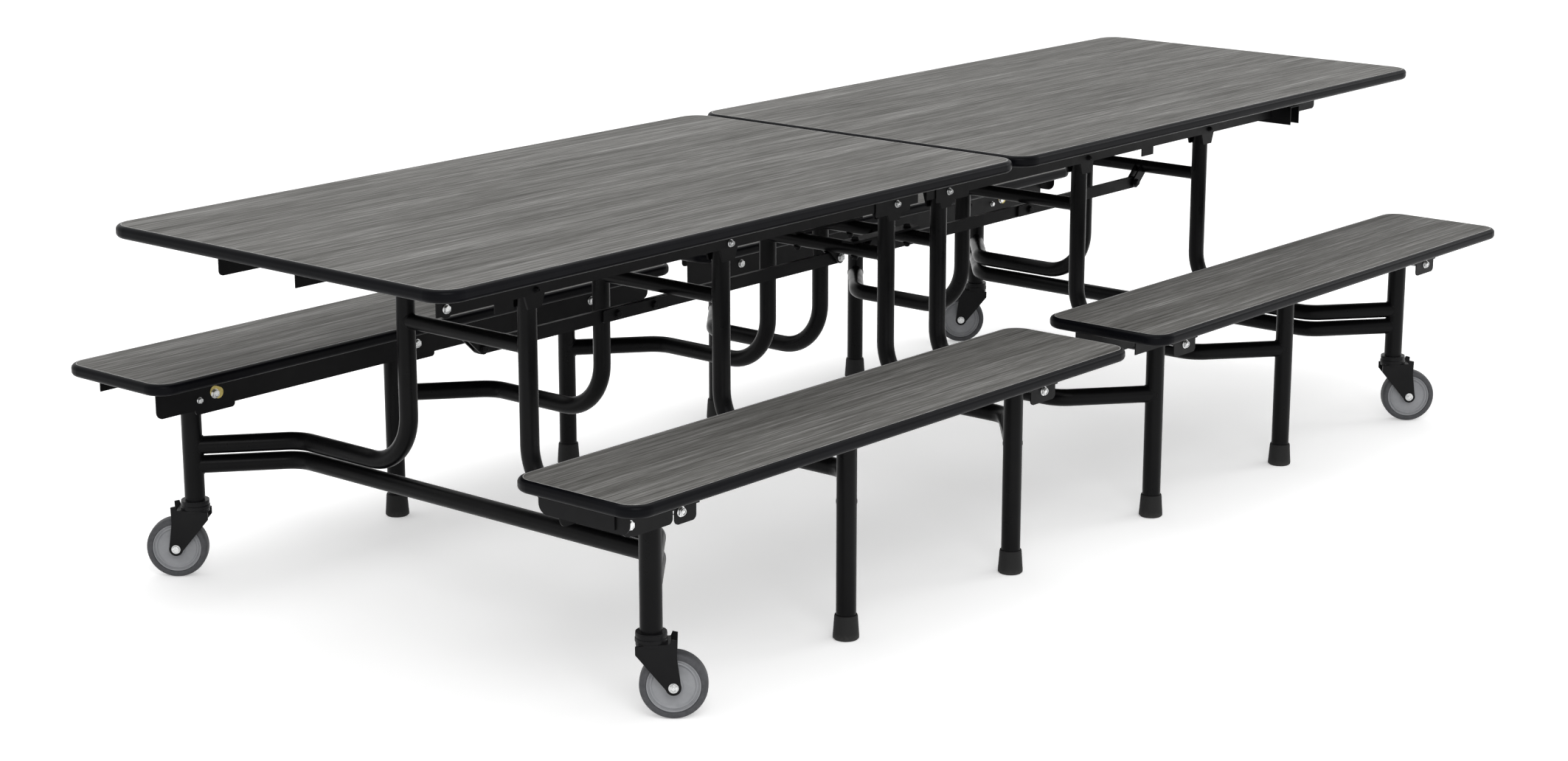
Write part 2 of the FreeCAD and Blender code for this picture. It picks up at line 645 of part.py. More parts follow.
def rail(label, s, r, tabbed):
    """Angle rail: a web that carries the hinges and a flange under the board."""
    body = doc.addObject("PartDesign::Body", label)
    under = "(Sheet.top_height - Sheet.top_thickness)"
    inside = "%d * Sheet.rail_web_inside" % -r
    sign = "" if s > 0 else "-"

    def span(low, high):
        """Expressions of an x range, in rising order."""
        texts = ["%s%s" % (sign, low), "%s%s" % (sign, high)]
        return texts if s > 0 else texts[::-1]

    low_x, high_x = span("Sheet.rail_start", "Sheet.rail_end")
    web = new_sketch(body, label + "_web_outline", "XZ_Plane", inside)
    rectangle(web, low_x, high_x, "(Sheet.top_height - Sheet.rail_drop)", under)
    pad(body, label + "_web", web, "Sheet.sheet_thick", r > 0)
    x_tab = "%s(Sheet.rail_end - Sheet.tab_inset)" % sign
    tab_level = "(Sheet.top_height - Sheet.tab_drop)"
    if tabbed:
        rail_tab(body, label, span, x_tab, tab_level, inside, r > 0)
    else:
        level = "(Sheet.top_height - Sheet.tail_drop_%s)" % ("left" if s < 0 else "right")
        rail_tail(body, label, span, s, level, inside, r > 0)
    stop = new_sketch(body, label + "_stop_outline", "XZ_Plane", inside)
    post_text = "Sheet.outer_post_" + ("left" if s < 0 else "right")
    offset = "+ Sheet.stop_place" if tabbed else "- Sheet.stop_place_inner"
    reach = "(%s %s - Sheet.stop_width / 2)" % (post_text, offset)
    low_x, high_x = span(reach, reach[:-1] + " + Sheet.stop_width)")
    rectangle(stop, low_x, high_x, "(Sheet.top_height - Sheet.stop_drop)",
              "(Sheet.top_height - Sheet.rail_drop) + 20")
    pad(body, label + "_stop", stop, "Sheet.sheet_thick", r > 0)
    flange_stop = "Sheet.rail_end" if tabbed else "Sheet.tail_end"
    low_x, high_x = span("Sheet.rail_start", flange_stop)
    flange = new_sketch(body, label + "_flange_outline", "XY_Plane", under)
    near = "%d * Sheet.rail_web_inside" % r
    away = "%d * (Sheet.rail_web_inside + Sheet.rail_flange)" % r
    edges = [near, away] if r > 0 else [away, near]
    rectangle(flange, low_x, high_x, edges[0], edges[1])
    pad(body, label + "_flange", flange, "Sheet.sheet_thick", True)
    holes = new_sketch(body, label + "_hole_outline", "XZ_Plane")
    for post in (post_text, "Sheet.middle_post", "Sheet.inner_post"):
        circle(holes, sign + post, "(Sheet.top_height - Sheet.pivot_drop)", "Sheet.pin_dia / 2")
    if tabbed:
        circle(holes, x_tab, tab_level, "Sheet.pin_dia / 2")
    before = body.Tip
    doc.recompute()
    solid_volume = before.Shape.Volume
    cut = pocket_through(body, label + "_holes", holes)
    doc.recompute()
    if cut.Shape.Volume >= solid_volume:
        raise ValueError("rail holes cut nothing")
    return keep(body, label)


def box_part(label, x_low, y_low, z_low, length, width, height):
    """Part::Box whose sizes and place follow expressions."""
    item = doc.addObject("Part::Box", label)
    for name, text in (("Length", length), ("Width", width), ("Height", height),
                       ("Placement.Base.x", x_low), ("Placement.Base.y", y_low),
                       ("Placement.Base.z", z_low)):
        item.setExpression(name, text)
    return item


def cross_tie(label, s):
    """Open channel between the two rails, flat against the board."""
    under = "Sheet.top_height - Sheet.top_thickness"
    centre = "%d * Sheet.tie_outer" % s
    outer = box_part(label + "_outside",
                     "%s - Sheet.tie_width / 2" % centre,
                     "-Sheet.rail_web_inside",
                     "%s - Sheet.tie_depth" % under,
                     "Sheet.tie_width", "2 * Sheet.rail_web_inside", "Sheet.tie_depth")
    inner = box_part(label + "_inside",
                     "%s - Sheet.tie_width / 2 + Sheet.sheet_thick" % centre,
                     "-Sheet.rail_web_inside - 1",
                     "%s - Sheet.tie_depth - 1" % under,
                     "Sheet.tie_width - 2 * Sheet.sheet_thick",
                     "2 * Sheet.rail_web_inside + 2",
                     "Sheet.tie_depth + 1 - Sheet.sheet_thick")
    channel = doc.addObject("Part::Cut", label)
    channel.Base = outer
    channel.Tool = inner
    return keep(channel, label)


for side, s in SIDES:
    for row, r in ROWS:
        rail("top_rail_%s_%s" % (side, row), s, r, s < 0 and r < 0)
    cross_tie("top_tie_" + side, s)

# Release bar across the outer end of the right half, under the rail tails.
grip_outside = box_part("grip_outside", "Sheet.grip_bar_start",
                        "-Sheet.grip_bar_length / 2",
                        "(Sheet.top_height - Sheet.tail_drop_right) - Sheet.grip_bar_depth",
                        "Sheet.grip_bar_width", "Sheet.grip_bar_length",
                        "Sheet.grip_bar_depth")
grip_inside = box_part("grip_inside", "Sheet.grip_bar_start + Sheet.sheet_thick",
                       "-Sheet.grip_bar_length / 2 - 1",
                       "(Sheet.top_height - Sheet.tail_drop_right) - Sheet.grip_bar_depth - 1",
                       "Sheet.grip_bar_width - 2 * Sheet.sheet_thick",
                       "Sheet.grip_bar_length + 2",
                       "Sheet.grip_bar_depth + 1 - Sheet.sheet_thick")
grip = doc.addObject("Part::Cut", "release_bar")
grip.Base = grip_outside
grip.Tool = grip_inside
keep(grip, "release_bar")


# ------------------------------------------------ channels under benches

def span_of(s, low, high):
    """Expressions of an x range on one side of the middle, in rising order."""
    return (low, high) if s > 0 else ("-" + high, "-" + low)


def plate_on(body, name, face, towards_low, area, radius=None):
    """Upright plate padded from a face at constant y, its area in x and z."""
    sketch = new_sketch(body, name + "_outline", "XZ_Plane", face)
    if radius:
        rounded_rectangle(sketch, *area, radius)
    else:
        rectangle(sketch, *area)
    return pad(body, name, sketch, "Sheet.sheet_thick", towards_low)


def short_bracket(body, name, face, towards_low, x_leg):
    """Bracket beside an end leg with room for the hinge bolt only."""
    low, high = ("%s + Sheet.short_bracket_start" % x_leg, "%s + Sheet.bracket_end" % x_leg)
    plate_on(body, name, face, towards_low,
             (low, high, "(Sheet.bench_height - Sheet.bracket_bolt_drop)",
              "(Sheet.bench_height - Sheet.lip_drop) + 20"))
    plate_on(body, name + "_pivot", face, towards_low,
             (low + " + 6", high + " - 8", "(Sheet.bench_height - Sheet.bracket_drop)",
              "(Sheet.bench_height - Sheet.lip_drop) + 18"), "Sheet.bracket_round")


def bracket_plate(body, name, face, towards_low, x_leg):
    """Bracket beside an end leg: a lug at the pivot, one at the second bolt."""
    wide = ("%s + Sheet.bracket_start" % x_leg, "%s + Sheet.bracket_end" % x_leg)
    plate_on(body, name, face, towards_low,
             wide + ("(Sheet.bench_height - Sheet.bracket_bolt_drop)",
                     "(Sheet.bench_height - Sheet.lip_drop) + 20"))
    lug = new_sketch(body, name + "_second_outline", "XZ_Plane", face)
    circle(lug, "%s + Sheet.bracket_bolt" % x_leg, "(Sheet.bench_height - Sheet.bracket_bolt_drop)",
           "(Sheet.bracket_drop - Sheet.bracket_bolt_drop - 7)")
    pad(body, name + "_second", lug, "Sheet.sheet_thick", towards_low)
    for part, x_low, x_high, z_low in (
            ("_middle", "Sheet.bracket_bolt", "(-19)", "(Sheet.bench_height - Sheet.bracket_drop) + 5"),
            ("_pivot", "(-14)", "Sheet.bracket_end - 8", "(Sheet.bench_height - Sheet.bracket_drop)")):
        plate_on(body, name + part, face, towards_low,
                 ("%s + %s" % (x_leg, x_low), "%s + %s" % (x_leg, x_high),
                  z_low, "(Sheet.bench_height - Sheet.lip_drop) + 18"), "Sheet.bracket_round")


def end_plate(body, label, face, centre, under, towards_high):
    """Plate across the outer end of a channel, lower corners rounded."""
    half = "Sheet.end_plate_width / 2"
    across = ("%s - %s" % (centre, half), "%s + %s" % (centre, half))
    cap = new_sketch(body, label + "_cap_outline", "YZ_Plane", face)
    rounded_rectangle(cap, *across, "(Sheet.bench_height - Sheet.end_plate_drop)", under,
                      "Sheet.end_plate_round")
    pad(body, label + "_cap", cap, "Sheet.sheet_thick", towards_high)
    head = new_sketch(body, label + "_cap_top_outline", "YZ_Plane", face)
    rectangle(head, *across, "%s - Sheet.end_plate_round" % under, under)
    pad(body, label + "_cap_top", head, "Sheet.sheet_thick", towards_high)


def bench_channel(label, s, r):
    """Channel under a bench: web, deep inner flange, outer lip, brackets."""
    body = doc.addObject("PartDesign::Body", label)
    under = "(Sheet.bench_height - Sheet.bench_thickness)"
    far_end = "(Sheet.bench_gap / 2 + Sheet.bench_length - Sheet.%s)"
    near = "(Sheet.bench_gap / 2 + Sheet.channel_start_inset)"
    full = span_of(s, near, far_end % "channel_end_inset")
    deep = span_of(s, near, far_end % "flange_end_inset")
    centre = "%d * Sheet.bench_centre" % r
    top = new_sketch(body, label + "_web_outline", "XY_Plane", under)
    rectangle(top, *full, "%s - Sheet.channel_spread / 2" % centre,
              "%s + Sheet.channel_spread / 2" % centre)
    pad(body, label + "_web", top, "Sheet.sheet_thick", True)
    inner = "-(%s - %d * Sheet.channel_spread / 2)" % (centre, r)
    outer = "-(%s + %d * Sheet.channel_spread / 2)" % (centre, r)
    plate_on(body, label + "_deep", inner, r > 0,
             deep + ("(Sheet.bench_height - Sheet.deep_flange_drop)", under), "Sheet.flange_round")
    plate_on(body, label + "_deep_root", inner, r > 0,
             deep + ("%s - 2 * Sheet.flange_round" % under, under))
    plate_on(body, label + "_lip", outer, r < 0, full + ("(Sheet.bench_height - Sheet.lip_drop)", under))
    holes = new_sketch(body, label + "_hole_outline", "XZ_Plane")
    posts = ("outer_post_" + ("left" if s < 0 else "right"), "middle_post",
             "inner_post")
    for post in posts:
        x_leg = "%d * (Sheet.%s + Sheet.leg_offset)" % (s, post)
        circle(holes, x_leg, "(Sheet.bench_height - Sheet.bench_pivot_drop)", "Sheet.pin_dia / 2")
        half = "Sheet.flange_lug_width / 2"
        plate_on(body, "%s_lug_%s" % (label, post), inner, r > 0,
                 ("%s - %s" % (x_leg, half), "%s + %s" % (x_leg, half),
                  "(Sheet.bench_height - Sheet.hinge_lug_drop)",
                   "(Sheet.bench_height - Sheet.deep_flange_drop) + 22"),
                 "Sheet.flange_round / 2")
        if post != "middle_post":
            place = ("%s_bracket_%s" % (label, post), outer, r < 0, x_leg)
            if s != r or post == "inner_post":
                short_bracket(body, *place)
                continue
            bracket_plate(body, *place)
            circle(holes, "%s + Sheet.bracket_bolt" % x_leg,
                   "(Sheet.bench_height - Sheet.bracket_bolt_drop)", "Sheet.tie_bolt_dia / 2")
    if s == r:
        end_plate(body, label, full[1] if s > 0 else full[0], centre, under, s > 0)
    doc.recompute()
    solid_volume = body.Tip.Shape.Volume
    cut = pocket_through(body, label + "_holes", holes)
    doc.recompute()
    if cut.Shape.Volume >= solid_volume:
        raise ValueError("channel holes cut nothing")
    return keep(body, label)


for side, s in SIDES:
    for row, r in ROWS:
        bench_channel("bench_channel_%s_%s" % (side, row), s, r)


# ------------------------------------------------------------- hinge pins

def domed_head(place, along, radius, thick):
    """Low domed bolt head that sits on a face and points along a direction."""
    disc = Part.makeCylinder(radius, thick, place, along)
    rim = [edge for edge in disc.Edges
           if abs((edge.CenterOfMass - place).dot(along) - thick) < 0.01
           and edge.Curve.TypeId == "Part::GeomCircle"]
    return disc.makeFillet(thick * 0.45, rim)


def top_pin(x_pin, r, z_pin):
    """Pin of a top hinge: head outside the rail, nut inside the post."""
    along = Vector(0, r, 0)
    outside = dim("rail_web_inside") + dim("sheet_thick")
    inside = dim("post_spread") - dim("tube_dia") / 2 - dim("cheek_thick")
    shank = bar(Vector(x_pin, r * (inside - 8), z_pin),
                Vector(x_pin, r * outside, z_pin), dim("pin_dia") / 2)
    head = domed_head(Vector(x_pin, r * outside, z_pin), along,
                      dim("pin_head_dia") / 2, dim("pin_head_thick"))
    nut = Part.makeCylinder(dim("pin_head_dia") / 2, 6,
                            Vector(x_pin, r * (inside - 0.5), z_pin), Vector(0, -r, 0))
    return shank.fuse([head, nut])


def bench_pin(x_pin, r, leg_dia, bracket):
    """Pin of a bench hinge: head inside, through flange and leg, nut outside."""
    half = dim("channel_spread") / 2
    wall = dim("sheet_thick")
    z_pin = bench_level("bench_pivot_drop")
    inside = dim("bench_centre") - half
    leg_in = dim("leg_spread") - leg_dia / 2 - 0.4
    leg_out = dim("leg_spread") + leg_dia / 2 + 0.4
    end = dim("bench_centre") + half if bracket else leg_out
    outward = Vector(0, r, 0)

    def at(y_place):
        return Vector(x_pin, r * y_place, z_pin)

    parts = [bar(at(inside), at(end), dim("pin_dia") / 2),
             domed_head(at(inside), -outward, dim("pin_head_dia") / 2,
                        dim("pin_head_thick")),
             domed_head(at(end), outward, dim("pin_head_dia") / 2,
                        dim("pin_head_thick")),
             bar(at(inside + wall), at(leg_in), dim("pin_shoulder_dia") / 2)]
    if bracket:
        parts.append(bar(at(leg_out), at(end - wall), dim("pin_shoulder_dia") / 2))
    return parts[0].fuse(parts[1:])


def bracket_bolt(x_bolt, r):
    """Short bolt through a bracket's second lug."""
    outside = r * (dim("bench_centre") + dim("channel_spread") / 2)
    z_bolt = bench_level("bracket_bolt_drop")
    outward = Vector(0, r, 0)
    place = Vector(x_bolt, outside, z_bolt)
    inner = place - outward * (dim("sheet_thick") + 9)
    shank = bar(inner, place, dim("tie_bolt_dia") / 2)
    head = domed_head(place, outward, dim("pin_head_dia") / 2, dim("pin_head_thick"))
    nut = bar(place - outward * dim("sheet_thick"), inner, dim("tie_bolt_head") / 2)
    return shank.fuse([head, nut])


def tab_bolt(s, r):
    """Short bolt in the round tab at the outer end of a rail."""
    x_bolt = s * (dim("rail_end") - dim("tab_inset"))
    outside = dim("rail_web_inside") + dim("sheet_thick")
    along = Vector(0, r, 0)
    shank = bar(Vector(x_bolt, r * (dim("rail_web_inside") - 12), top_level("tab_drop")),
                Vector(x_bolt, r * outside, top_level("tab_drop")), dim("pin_dia") / 2)
    head = domed_head(Vector(x_bolt, r * outside, top_level("tab_drop")), along,
                      dim("pin_head_dia") / 2, dim("pin_head_thick"))
    nut = Part.makeCylinder(dim("pin_head_dia") / 2, 8,
                            Vector(x_bolt, r * dim("rail_web_inside"),
                                   top_level("tab_drop")), Vector(0, -r, 0))
    return shank.fuse([head, nut])


def link_pin(x_pin):
    """Pin of a link bar, a head outside each clevis plate."""
    reach = dim("clevis_gap") / 2 + dim("clevis_plate") + 0.4
    z_pin = top_level("stretcher_drop") - dim("link_pivot_drop")
    shank = bar(Vector(x_pin, -reach, z_pin), Vector(x_pin, reach, z_pin),
                dim("link_pin_dia") / 2)
    heads = []
    for end in (-1, 1):
        heads.append(domed_head(Vector(x_pin, end * reach, z_pin), Vector(0, end, 0),
                                dim("link_pin_head") / 2, 4.0))
    return shank.fuse(heads)


def tie_bolt(s, r):
    """Bolt down through a tie plate and a stretcher, nut underneath."""
    x_bolt = s * dim("inner_post")
    y_bolt = r * dim("tie_plate_place")
    low = top_level("stretcher_drop") - dim("stretcher_dia") / 2
    high = top_level("stretcher_drop") + dim("stretcher_dia") / 2 + dim("tie_plate_thick")
    shank = bar(Vector(x_bolt, y_bolt, low - 8), Vector(x_bolt, y_bolt, high),
                dim("tie_bolt_dia") / 2)
    head = domed_head(Vector(x_bolt, y_bolt, high), Vector(0, 0, 1),
                      dim("tie_bolt_head") / 2, 5.0)
    nut = Part.makeCylinder(dim("tie_bolt_head") / 2, 6, Vector(x_bolt, y_bolt, low),
                            Vector(0, 0, -1))
    return shank.fuse([head, nut])


feature(Part.makeCompound([tie_bolt(s, r) for s in (-1, 1) for r in (-1, 1)]),
        "tie_bolts")

POSTS = ("outer_post", "middle_post", "inner_post")
for side, s in SIDES:
    pins = []
    for row, r in ROWS:
        for post in POSTS:
            pins.append(top_pin(post_place(post, s), r, top_level("pivot_drop")))
        if s < 0 and r < 0:
            pins.append(tab_bolt(s, r))
    feature(Part.makeCompound(pins), "top_bolts_" + side)
    for row, r in ROWS:
        pins = []
        for post in POSTS:
            x_pin = post_place(post, s) + s * dim("leg_offset")
            casters = post == "outer_post"
            leg_dia = dim("caster_leg_dia") if casters else dim("leg_dia")
            bracket = post != "middle_post"
            pins.append(bench_pin(x_pin, r, leg_dia, bracket))
            if s == r and casters:
                pins.append(bracket_bolt(x_pin + dim("bracket_bolt"), r))
        feature(Part.makeCompound(pins), "bench_bolts_%s_%s" % (side, row))
    pins = []
    for post in ("outer_post", "inner_post"):
        pins.append(link_pin(post_place(post, s) - s * dim("link_pivot_inset")))
    feature(Part.makeCompound(pins), "link_pins_" + side)


# -------------------------------------------------------------- link bars

def link_bar(label, s):
    """Flat bar that keeps the frames of one half upright while it folds."""
    body = doc.addObject("PartDesign::Body", label)
    sign = "" if s > 0 else "-"
    height = "(Sheet.top_height - Sheet.stretcher_drop) - Sheet.link_pivot_drop"
    inner = "(Sheet.inner_post - Sheet.link_pivot_inset)"
    post = "Sheet.outer_post_" + ("left" if s < 0 else "right")
    outer = "(%s - Sheet.link_pivot_inset)" % post
    near, away = "%s%s" % (sign, inner), "%s%s" % (sign, outer)
    low_x, high_x = (near, away) if s > 0 else (away, near)
    face = "-Sheet.link_thick / 2"
    outline = new_sketch(body, label + "_outline", "XZ_Plane", face)
    rectangle(outline, low_x, high_x, height + " - Sheet.link_depth / 2",
              height + " + Sheet.link_depth / 2")
    pad(body, label + "_strip", outline, "Sheet.link_thick")
    for number, place in enumerate((near, away)):
        eye = new_sketch(body, "%s_eye_%d" % (label, number), "XZ_Plane", face)
        circle(eye, place, height, "Sheet.link_depth / 2")
        pad(body, "%s_boss_%d" % (label, number), eye, "Sheet.link_thick")
    holes = new_sketch(body, label + "_hole_outline", "XZ_Plane")
    circle(holes, near, height, "Sheet.link_pin_dia / 2")
    circle(holes, away, height, "Sheet.link_pin_dia / 2")
    slot = "%d * Sheet.link_slot_place" % s
    rectangle(holes, slot + " - Sheet.link_slot_length / 2",
              slot + " + Sheet.link_slot_length / 2", height + " - 4", height + " + 4")
    doc.recompute()
    solid_volume = body.Tip.Shape.Volume
    cut = pocket_through(body, label + "_holes", holes)
    doc.recompute()
    if cut.Shape.Volume >= solid_volume:
        raise ValueError("link bar holes cut nothing")
    return keep(body, label)


for side, s in SIDES:
    link_bar("link_bar_" + side, s)


# ------------------------------------------------------------ rubber feet

def foot(x_leg, y_leg):
    """Rubber cup pushed over the end of a leg."""
    bore = dim("leg_dia") / 2
    profile = [(0, 0), (dim("foot_base_dia") / 2 - 2.5, 0),
               (dim("foot_base_dia") / 2, 2.5), (dim("foot_base_dia") / 2, 7),
               (dim("foot_top_dia") / 2, dim("foot_height") - 3),
               (dim("foot_top_dia") / 2 - 0.8, dim("foot_height")),
               (bore, dim("foot_height")), (bore, dim("foot_floor")),
               (0, dim("foot_floor"))]
    points = [Vector(x_leg + x, y_leg, z) for x, z in profile]
    face = Part.Face(Part.makePolygon(points + points[:1]))
    return face.revolve(Vector(x_leg, y_leg, 0), Vector(0, 0, 1), 360)


def feet(label, places):
    """Feet of one moving frame."""
    feature(Part.makeCompound([foot(x, y) for x, y in places]), label)


for side, s in SIDES:
    x_leg = s * (dim("middle_post") + dim("leg_offset"))
    feet("feet_middle_" + side, [(x_leg, r * dim("leg_spread")) for r in (-1, 1)])
feet("feet_centre", [(s * (dim("inner_post") + dim("leg_offset")),
                      r * dim("leg_spread")) for s in (-1, 1) for r in (-1, 1)])


# ---------------------------------------------------------------- casters
# Each caster is built at the origin, trailing along +X with its axle along Y,
# then turned to its heading and set under its leg.

def fork_shape():
    """Swivel fork: stem, rings, crown block with its horn, and two side plates."""
    axle_height = dim("wheel_dia") / 2
    crown = dim("fork_crown")
    reach = dim("trail")
    outline = [(-26, crown - 6), (-26, crown - 20), (reach - 13, axle_height - 3),
               (reach + 13, axle_height - 2), (reach + 6, crown - 26),
               (reach + 7, crown + 4), (reach - 2, crown + 6), (reach - 5, crown - 2)]
    inner = dim("fork_gap") / 2
    plate = dim("fork_plate")
    solids = []
    for side in (-1, 1):
        y_low = min(side * inner, side * (inner + plate))
        wall = plate_xz(outline, y_low, y_low + plate)
        boss = Part.makeCylinder(13, plate, Vector(reach, y_low, axle_height),
                                 Vector(0, 1, 0))
        solids.append(wall.fuse(boss))
    solids.append(block(-20, reach - 4, -inner - 1, inner + 1, crown - 8, crown - 2))
    solids.append(Part.makeCylinder(dim("collar_dia") / 2, dim("collar_top") - crown + 8,
                                    Vector(0, 0, crown - 8)))
    ring_top = dim("caster_leg_end") - dim("swivel_gap")
    solids.append(Part.makeCylinder(dim("race_dia") / 2, ring_top - dim("collar_top") + 1,
                                    Vector(0, 0, dim("collar_top") - 1)))
    solids.append(Part.makeCylinder(dim("stem_dia") / 2, dim("stem_top") - crown,
                                    Vector(0, 0, crown)))
    shape = solids[0].fuse(solids[1:])
    hole = bar(Vector(reach, -40, axle_height), Vector(reach, 40, axle_height),
               dim("axle_dia") / 2)
    return shape.cut(hole).removeSplitter()


def axle_shape():
    """Axle bolt through the fork, a head outside each plate."""
    axle_height = dim("wheel_dia") / 2
    reach = dim("fork_gap") / 2 + dim("fork_plate")
    shank = bar(Vector(dim("trail"), -reach, axle_height),
                Vector(dim("trail"), reach, axle_height), dim("axle_dia") / 2)
    heads = []
    for end in (-1, 1):
        heads.append(domed_head(Vector(dim("trail"), end * reach, axle_height),
                                Vector(0, end, 0), dim("axle_head_dia") / 2, 4.0))
    return shank.fuse(heads)


def turned(profile):
    """Solid turned about the wheel's axle from radius and offset pairs."""
    axle_height = dim("wheel_dia") / 2
    points = [Vector(dim("trail"), offset, axle_height + radius)
              for radius, offset in profile]
    face = Part.Face(Part.makePolygon(points + points[:1]))
    centre = Vector(dim("trail"), 0, axle_height)
    return face.revolve(centre, Vector(0, 1, 0), 360)


def hub_shape():
    """Wheel centre: boss, dished disc and rim."""
    bore = (dim("axle_dia") + dim("fit_gap")) / 2
    boss = dim("hub_boss_dia") / 2
    rim = dim("hub_dia") / 2
    wide = dim("fork_gap") / 2 - 1
    edge = dim("wheel_width") / 2 - 2
    disc = edge - 3
    side = [(bore, wide), (boss, wide), (boss + 1, disc), (rim - 5, disc),
            (rim - 4, edge), (rim, edge)]
    profile = side + [(radius, -offset) for radius, offset in reversed(side)]
    return turned(profile)


def tyre_shape():
    """Tread ring bonded round the wheel centre, shoulders rounded."""
    rim = dim("hub_dia") / 2
    out = dim("wheel_dia") / 2
    half = dim("wheel_width") / 2
    side = [(rim, half - 2), (rim + 1.5, half), (out - 5, half), (out - 2.2, half - 1.6),
            (out - 0.6, half - 4.4), (out, half - 8)]
    profile = side + [(radius, -offset) for radius, offset in reversed(side)]
    return turned(profile)


for side, s in SIDES:
    for row, r in ROWS:
        heading = dim("near_swivel") if r < 0 else dim("far_swivel")
        x_leg = post_place("outer_post", s) + s * dim("leg_offset")
        place = Placement(Vector(x_leg, r * dim("leg_spread"), 0),
                          Rotation(Vector(0, 0, 1), heading))
        for kind, shape in (("fork", fork_shape()), ("axle", axle_shape()),
                            ("hub", hub_shape()), ("tyre", tyre_shape())):
            part = feature(shape, "caster_%s_%s_%s" % (kind, side, row))
            part.Placement = place


# ------------------------------------------------------ check and write

doc.recompute()
for obj in doc.Objects:
    if "Invalid" in obj.State or "Error" in obj.State:
        raise ValueError("object failed: " + obj.Label)
labels = [obj.Label for obj in SUBPARTS]
if len(set(labels)) != len(labels):
    raise ValueError("two sub-parts share a label")
for obj in SUBPARTS:
    if obj.Shape.isNull() or not obj.Shape.isValid():
        raise ValueError("bad shape: " + obj.Label)
os.makedirs("parts", exist_ok=True)
for obj in SUBPARTS:
    obj.Shape.exportStep(os.path.join("parts", obj.Label + ".step"))
print("wrote", len(SUBPARTS), "sub-parts")
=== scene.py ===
import bpy
import bmesh
import math
from mathutils import Matrix, Vector


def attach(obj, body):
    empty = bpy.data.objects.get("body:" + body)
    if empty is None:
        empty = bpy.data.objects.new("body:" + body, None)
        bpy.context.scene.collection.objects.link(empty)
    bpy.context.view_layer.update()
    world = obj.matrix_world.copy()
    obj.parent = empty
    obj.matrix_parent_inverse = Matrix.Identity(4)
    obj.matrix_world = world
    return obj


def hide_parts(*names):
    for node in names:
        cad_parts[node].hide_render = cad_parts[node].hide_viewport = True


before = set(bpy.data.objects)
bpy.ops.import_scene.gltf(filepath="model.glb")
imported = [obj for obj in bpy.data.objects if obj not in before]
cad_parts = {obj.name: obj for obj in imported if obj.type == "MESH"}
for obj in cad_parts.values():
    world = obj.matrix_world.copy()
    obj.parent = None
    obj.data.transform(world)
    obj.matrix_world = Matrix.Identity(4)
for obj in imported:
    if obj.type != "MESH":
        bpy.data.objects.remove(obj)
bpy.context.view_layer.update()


# Camera: stands off the near left corner, a little above standing eye level,
# and takes in the whole table with its benches.
eye = bpy.data.cameras.new("eye")
eye.sensor_width = 36.0
eye.lens = 69.18
eye.clip_end = 60.0
eye_object = bpy.data.objects.new("eye", eye)
eye_object.location = (-4.6423, -3.7382, 1.7650)
eye_object.rotation_euler = (math.radians(75.55), 0.0, math.radians(-49.83))
bpy.context.scene.collection.objects.link(eye_object)
bpy.context.scene.camera = eye_object
bpy.context.scene.view_settings.view_transform = "Standard"


# Floor: a wide pale studio sweep, matt paper with a faint tooth. It runs out
# into the white of the backdrop and keeps the shadow of the table.
def new_material(name):
    """An empty node material: its nodes, its links and its shader."""
    material = bpy.data.materials.new(name)
    material.use_nodes = True
    nodes = material.node_tree.nodes
    return material, nodes, material.node_tree.links, nodes["Principled BSDF"]


def noise(nodes, links, vector, scale, detail, roughness=0.5):
    """A noise texture that reads a given vector."""
    texture = nodes.new("ShaderNodeTexNoise")
    texture.inputs["Scale"].default_value = scale
    texture.inputs["Detail"].default_value = detail
    texture.inputs["Roughness"].default_value = roughness
    links.new(vector, texture.inputs["Vector"])
    return texture.outputs["Fac"]


def ramp(nodes, links, value, stops):
    """A colour ramp over a value, from (position, colour) stops."""
    colours = nodes.new("ShaderNodeValToRGB")
    while len(colours.color_ramp.elements) < len(stops):
        colours.color_ramp.elements.new(0.5)
    for element, (position, colour) in zip(colours.color_ramp.elements, stops):
        element.position = position
        element.color = (*colour, 1.0)
    links.new(value, colours.inputs["Fac"])
    return colours.outputs["Color"]


def bump(nodes, links, shader, height, strength, distance):
    """Relief on a shader from a height value."""
    relief = nodes.new("ShaderNodeBump")
    relief.inputs["Strength"].default_value = strength
    relief.inputs["Distance"].default_value = distance
    links.new(height, relief.inputs["Height"])
    links.new(relief.outputs["Normal"], shader.inputs["Normal"])


def spread(nodes, links, value, source, target):
    """A value carried over from one range to another."""
    mapped = nodes.new("ShaderNodeMapRange")
    for name, number in zip(("From Min", "From Max", "To Min", "To Max"), (*source, *target)):
        mapped.inputs[name].default_value = number
    links.new(value, mapped.inputs["Value"])
    return mapped.outputs["Result"]


def object_place(nodes):
    """The place of a point in its own object, in metres."""
    return nodes.new("ShaderNodeTexCoord").outputs["Object"]


